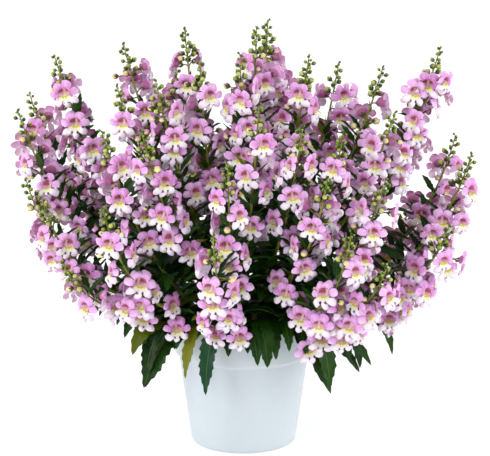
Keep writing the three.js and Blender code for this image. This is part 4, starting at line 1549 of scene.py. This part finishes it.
def soil_crumb():
    """Dark potting mix with brown fibre and pale grains."""
    material, nodes, shader = new_material("soil_crumb")
    whole, _, _, _ = nodes.attribute("place")
    broad, broad_height = nodes.group(mottle, Vector=whole, Scale=0.16, Strength=1.0)
    fine, fine_height = nodes.group(mottle, Vector=whole, Scale=0.9, Strength=1.0)
    skin = nodes.mix(broad, rgb(34, 24, 18), rgb(74, 54, 40))
    skin = nodes.mix(nodes.step(fine, 0.5, 0.9, 0, 0.6), skin, rgb(106, 82, 60))
    specks = nodes.add("ShaderNodeTexVoronoi", {"Vector": whole, "Scale": 0.3}, "Distance")
    skin = nodes.mix(nodes.step(specks, 0.16, 0.08, 0, 0.85), skin, rgb(206, 200, 188))
    height = nodes.math("ADD", fine_height, broad_height)
    dress(nodes, shader, skin, nodes.step(fine, 0.2, 0.8, 0.8, 1.0), height, 0.9, 0.002)
    return material


# Pot and soil

def rounded(profile, cuts):
    """A profile with its corners rounded, each by the length cut off its two sides."""
    rows = []
    for i, (corner, cut) in enumerate(zip(profile, cuts)):
        corner = np.array(corner, float)
        if cut == 0:
            rows.append(corner)
            continue
        before, after = np.array(profile[i - 1], float), np.array(profile[i + 1], float)
        start = corner + unit(before - corner) * cut
        end = corner + unit(after - corner) * cut
        for t in np.linspace(0, 1, 6):
            rows.append(start * (1 - t) ** 2 + corner * 2 * t * (1 - t) + end * t * t)
    return np.array(rows)


def add_turned(piece, profile, sides, wobble=None):
    """A closed body turned round the pot's axis. Its first and last rows lie on the axis."""
    angle = np.arange(sides) * (2 * math.pi / sides)
    radius = np.repeat(profile[1:-1, 0], sides)
    turn = np.tile(angle, len(profile) - 2)
    height = np.repeat(profile[1:-1, 1], sides)
    points = np.stack([radius * np.cos(turn), radius * np.sin(turn), height], 1)
    if wobble:
        points = wobble(points)
    tips = [[0, 0, profile[0, 1]], [0, 0, profile[-1, 1]]]
    count = len(points)
    points = np.concatenate([points, tips])
    fans = end_fans(sides, 0, count - sides, count, count + 1)
    piece.add(points, grid_faces(len(profile) - 2, sides, True), fans, ONLY_FINISH, ORIGIN, points)


# The pot's foot: a ring round a slightly raised middle
FOOT_RING = 12
MIDDLE_RAISED = 2.2
POT_SIDES = 128
SOIL_SIDES = 110


def make_pot():
    rim_foot = RIM_RADIUS - RIM_TAPER
    profile = [
        (0, MIDDLE_RAISED), (BODY_BOTTOM_RADIUS - FOOT_RING, MIDDLE_RAISED),
        (BODY_BOTTOM_RADIUS - FOOT_RING + 1, 0), (BODY_BOTTOM_RADIUS - 0.6, 0),
        (BODY_TOP_RADIUS, BAND_FOOT - 1), (rim_foot, BAND_FOOT + 1.8),
        (RIM_RADIUS, POT_HEIGHT - 6), (RIM_RADIUS, POT_HEIGHT),
        (RIM_RADIUS - POT_WALL, POT_HEIGHT), (rim_foot - POT_WALL, BAND_FOOT + 3),
        (BODY_TOP_RADIUS - POT_WALL, BAND_FOOT - 1), (BODY_BOTTOM_RADIUS - POT_WALL, 3 + POT_FLOOR),
        (BODY_BOTTOM_RADIUS - FOOT_RING, POT_FLOOR), (0, POT_FLOOR),
    ]
    cuts = [0, 0.8, 0.8, BOTTOM_ROUNDING, 1.0, 1.2, 2.5, 1.0, 0.9, 1.5, 1.5, 2, 2, 0]
    piece = Piece()
    add_turned(piece, rounded(profile, cuts), POT_SIDES)
    piece.make("pot_shell", [pot_plastic()], "pot_plastic", ["pot"])


# The rise and fall of the soil: waves of these lengths, how much of their sum is used, how low and high
# it may go, how deep it reaches below the top, and how wide the calm edge is
SOIL_WAVES = 26
SOIL_WAVE_LENGTHS = (3.2, 17)
SOIL_WAVE_SHARE = 0.045
SOIL_RISES = (-2.4, 2.6)
SOIL_SKIN = 3.5
SOIL_EDGE = 3
SOIL_EDGE_WIDTH = 6


def lumps(points):
    """A crumbly rise and fall for the top of the soil."""
    x, y = points[:, 0], points[:, 1]
    rise = np.zeros(len(points))
    for _ in range(SOIL_WAVES):
        turn = look(0, 2 * math.pi)
        length = look(*SOIL_WAVE_LENGTHS)
        along = x * math.cos(turn) + y * math.sin(turn)
        rise += np.sin(along * 2 * math.pi / length + look(0, ONE_TURN)) * length
    rise *= SOIL_WAVE_SHARE
    top = points[:, 2] > SOIL_TOP - SOIL_SKIN
    edge = np.clip((RIM_RADIUS - SOIL_EDGE - np.hypot(x, y)) / SOIL_EDGE_WIDTH, 0, 1)
    points = points.copy()
    points[:, 2] += np.where(top, np.clip(rise, *SOIL_RISES) * edge, 0)
    return points


# The soil stays this far inside the outer face of the pot's wall, and its top is this far below the
# frame's, as its waves and crumbs rise above that
SOIL_INSET = POT_WALL + 0.6
SOIL_SUNK = 0.6
SOIL_RINGS = 44
CRUMBS = 150
CRUMB_SIZES = (0.8, 2.0)


def add_crumbs(piece):
    """Loose crumbs on the top of the soil, each turned and squeezed by chance."""
    points, quads, triangles = ball(7, [(0, -1.0), (0.7, -0.7), (1.0, 0.0), (0.7, 0.7), (0.3, 0.9), (0, 1.0)])
    for _ in range(CRUMBS):
        turn = look(0, 2 * math.pi)
        distance = math.sqrt(look(0, 1)) * (RIM_RADIUS - 7)
        centre = toward(turn) * distance + UP * (SOIL_TOP + look(-0.6, 1.0))
        side = vector(math.cos(look(0, ONE_TURN)), 0, look(-0.4, 0.4))
        side = unit(side + vector(0, look(-1, 1), 0))
        over = unit(cross(side, UP))
        squeeze = np.array([look(0.6, 1.2), look(0.8, 1.9), look(0.4, 0.8)])
        crumb = placed(points * squeeze, centre, side, over, cross(side, over), look(*CRUMB_SIZES))
        piece.add(crumb, quads, triangles, ONLY_FINISH, ORIGIN, crumb)


def make_soil():
    rim_inside = RIM_RADIUS - SOIL_INSET
    top = SOIL_TOP - SOIL_SUNK
    rows = [
        (0, POT_FLOOR + 0.4), (BODY_BOTTOM_RADIUS - FOOT_RING - 1, POT_FLOOR + 0.6),
        (BODY_BOTTOM_RADIUS - SOIL_INSET - 1, 12), (BODY_TOP_RADIUS - SOIL_INSET - 0.3, BAND_FOOT - 1),
        (rim_inside - 1, BAND_FOOT + 5), (rim_inside - 0.8, SOIL_TOP - 4), (rim_inside - 0.9, SOIL_TOP - 2),
    ]
    rows += [(radius, top) for radius in np.linspace(rim_inside - 2, 1.5, SOIL_RINGS)]
    rows += [(0, top)]
    piece = Piece()
    add_turned(piece, np.array(rows), SOIL_SIDES, lumps)
    add_crumbs(piece)
    piece.make("soil_bed", [soil_crumb()], "potting_soil", ["soil"])


# The plant's pieces

# Hanging leaves that have turned yellow (above zero) or blue-green (below), by their tips
LEAF_TURNS = {(-54, -80, 84): 0.75, (-35, -92, 72): -1.0, (-68, 78, 72): 0.6}

# Few leaves have turned yellow: the share that hasn't, and the ranges of yellowness of those that have
# and those that haven't
GREEN_SHARE = 0.95
YELLOWED = (0.3, 0.8)
GREEN = (0, 0.12)


def leaf_tone(leaf):
    """Shade and yellowness of a leaf."""
    turned = look(*YELLOWED) if look(0, 1) > GREEN_SHARE else look(*GREEN)
    tip = tuple(int(round(value)) for value in leaf["curve"].points[-1])
    return look(0, 1), LEAF_TURNS.get(tip, turned)


# A trunk runs a little past its fork. Trunks and branches have knots that rise and fall along them.
TRUNK_PAST_FORK = 0.12
TRUNK_ROWS = 14
TRUNK_SIDES = 10
TRUNK_TOP_SHARE = 0.82
TRUNK_KNOTS = 0.05
TRUNK_KNOT_TURN = 0.9
BRANCH_ROWS = 24
BRANCH_SIDES = 8
BRANCH_FOOT_RADIUS = BRANCH_RADIUS + 0.3
BRANCH_KNOTS = 0.06
BRANCH_KNOT_TURN = 0.7


def add_trunk(piece, stem):
    trunk = Bend(stem.root, stem.fork + (stem.fork - stem.collar) * TRUNK_PAST_FORK, 0.5, 0.5)
    distances = np.linspace(0, trunk.length, TRUNK_ROWS)
    points, directions = trunk.places(distances)
    radii = STEM_RADIUS * (1 + TRUNK_KNOTS * np.sin(distances * TRUNK_KNOT_TURN))
    radii = radii * np.linspace(1.0, TRUNK_TOP_SHARE, TRUNK_ROWS)
    body, quads, triangles = tube(points, directions, radii, TRUNK_SIDES, trunk.side)
    piece.add(body, quads, triangles, WOOD, (0.9, look(0, 1), 0))


def add_branch(piece, spike):
    """A branch, brown at its foot and greener towards its spike."""
    distances = np.linspace(0, spike.foot + 1, BRANCH_ROWS)
    points, directions = spike.curve.places(distances)
    knots = 1 + BRANCH_KNOTS * np.sin(distances * BRANCH_KNOT_TURN)
    radii = np.linspace(BRANCH_FOOT_RADIUS, AXIS_RADIUS, BRANCH_ROWS) * knots
    body, quads, triangles = tube(points, directions, radii, BRANCH_SIDES, spike.curve.side)
    share = np.concatenate([np.repeat(np.linspace(0, 1, BRANCH_ROWS), BRANCH_SIDES), [0, 1]])
    chance = np.full(len(body), look(0, 1))
    tone = np.stack([0.7 - 0.4 * share, chance, np.zeros(len(body))], 1)
    piece.add(body, quads, triangles, WOOD, tone)


def make_stem(stem, finishes):
    """A stem with its branches and its leaves."""
    piece = Piece()
    add_trunk(piece, stem)
    for spike in stem.spikes:
        add_branch(piece, spike)
    for leaf in stem.leaves:
        add_leaf(piece, leaf, leaf_tone(leaf))
    piece.make(f"leafy_stem_{stem.name}", finishes, "green_leaf", [f"stem_{stem.name}"])


# Bracts stand this far apart, from above the foot to below the tip, and shrink towards it. A tuft of
# smaller ones closes the tip.
BRACT_START = 6
BRACT_END = 3
BRACT_STEP = 6.5
BRACT_SIZES = (1.1, 2.5)
BRACT_SHRINK = 0.6
TUFT_BELOW_TIP = 2.5
TUFT_BRACTS = 5
TUFT_TURN = 144
TUFT_TURNS = (-20, 20)
TUFT_RISE = 0.2
TUFT_SIZES = (0.5, 0.75)


def add_bracts(stalks, spike):
    """Small pointed bracts under the stalks of blooms and buds."""
    length = spike.curve.length
    for distance in np.arange(spike.foot + BRACT_START, length - BRACT_END, BRACT_STEP):
        point, direction = spike.curve.at(distance)
        out = toward(look(0, 2 * math.pi))
        out = unit(out - direction * float(direction @ out))
        size = look(*BRACT_SIZES) * (1 - BRACT_SHRINK * (distance - spike.foot) / (length - spike.foot))
        tone = (0.1, look(0, 1), 0)
        add_sepals(stalks, bract_kind, point, cross(out, direction), direction, out, size, tone)
    point, direction = spike.curve.at(length - TUFT_BELOW_TIP)
    for turn in range(TUFT_BRACTS):
        heading = (turn * TUFT_TURN + look(*TUFT_TURNS)) * DEGREE
        out = unit(toward(heading) + direction * TUFT_RISE)
        size = look(*TUFT_SIZES)
        tone = (0.1, look(0, 1), 0)
        add_sepals(stalks, bract_kind, point, cross(out, direction), direction, out, size, tone)


def make_spikes(stem, stalk_finishes, petal_finishes):
    """All spikes of a stem: their stalks, calyxes and buds in one piece, their petals in another."""
    stalks, petals = Piece(), Piece()
    for spike in stem.spikes:
        add_axis(stalks, spike)
        for bud in spike.buds + spike.more_buds:
            add_bud(stalks, *bud)
        add_bracts(stalks, spike)
        for bloom in spike.blooms + spike.more_blooms:
            kind = int(look(0, BLOOM_KINDS - 0.001))
            add_bloom(petals, stalks, bloom, kind, look(0, 1))
    nodes = [f"spike_{spike.name}" for spike in stem.spikes]
    stalks.make(f"stalks_{stem.name}", stalk_finishes, "green_leaf", nodes)
    petals.make(f"blooms_{stem.name}", petal_finishes, "pink_petal", nodes)


stems, spikes, room = lay_out_plant()
crowd_buds(spikes, room)
crowd_blooms(spikes, room)
hang_blooms(spikes, room)
crowd_leaves(stems, room)
leaf_finish = leaf_blade()
stem_finish = stalk_skin("stem_skin", rgb(92, 122, 48), rgb(98, 118, 52), rgb(96, 84, 52))
stalk_finish = stalk_skin("stalk_skin", rgb(48, 80, 24), rgb(138, 150, 50), rgb(104, 88, 56))
bud_finish = bud_skin()
petal_finish = petal_skin()

make_pot()
make_soil()
for stem in stems:
    make_stem(stem, [stem_finish, leaf_finish])
    make_spikes(stem, [stalk_finish, bud_finish], [petal_finish])

# Camera, lights and floor, in metres. The lights look at the middle of the plant.
CAMERA_DISTANCE = 2.8
CAMERA_HEIGHT = 14.5 * DEGREE
CAMERA_LENS = 218.5
SENSOR_WIDTH = 36
FARTHEST_SEEN = 60
TARGET = Vector((0.0014, 0, 0.2078))
LIT_POINT = Vector((0, 0, 0.22))
FLOOR_HALF = 16
FLOOR_GLOW = 0.53
WORLD_STRENGTH = 0.92

# Lights: place, size and power
LIGHTS = {
    "key": ((-1.2, -1.5, 1.3), 0.8, 15),
    "fill": ((1.7, -1.0, 0.9), 1.2, 10),
    "side_left": ((-2.1, 0.1, 0.5), 1.2, 12),
    "side_right": ((2.1, 0.1, 0.5), 1.2, 10),
}


def make_camera():
    camera = bpy.data.objects.new("camera", bpy.data.cameras.new("camera"))
    camera.data.lens = CAMERA_LENS
    camera.data.sensor_width = SENSOR_WIDTH
    camera.data.clip_end = FARTHEST_SEEN
    back = Vector((0, -math.cos(CAMERA_HEIGHT), math.sin(CAMERA_HEIGHT)))
    camera.location = TARGET + back * CAMERA_DISTANCE
    camera.rotation_euler = back.to_track_quat("Z", "Y").to_euler()
    bpy.context.scene.collection.objects.link(camera)
    bpy.context.scene.camera = camera


def make_light(title, place, size, power):
    light = bpy.data.lights.new(title, "AREA")
    light.shape = "DISK"
    light.size = size
    light.energy = power
    lamp = bpy.data.objects.new(title, light)
    lamp.location = place
    lamp.rotation_euler = (Vector(place) - LIT_POINT).to_track_quat("Z", "Y").to_euler()
    bpy.context.scene.collection.objects.link(lamp)


def make_floor():
    """A pale floor that glows a little, so that it stays white round the pot."""
    corners = [(x * FLOOR_HALF, y * FLOOR_HALF, 0) for x, y in ((-1, -1), (1, -1), (1, 1), (-1, 1))]
    mesh = bpy.data.meshes.new("floor")
    mesh.from_pydata(corners, [], [(0, 1, 2, 3)])
    floor = bpy.data.objects.new("floor", mesh)
    bpy.context.scene.collection.objects.link(floor)
    material, _, shader = new_material("floor_paint", Roughness=0.8, Specular_IOR_Level=0.1,
                                       Base_Color=rgb(200, 200, 200), Emission_Color=rgb(255, 255, 255),
                                       Emission_Strength=FLOOR_GLOW)
    mesh.materials.append(material)


def light_room():
    world = bpy.data.worlds.new("studio")
    world.use_nodes = True
    background = world.node_tree.nodes["Background"]
    background.inputs["Color"].default_value = (0.98, 0.99, 1.0, 1.0)
    background.inputs["Strength"].default_value = WORLD_STRENGTH
    bpy.context.scene.world = world
    bpy.context.scene.view_settings.view_transform = "Standard"
    for title, (place, size, power) in LIGHTS.items():
        make_light(title, place, size, power)


make_camera()
light_room()
make_floor()
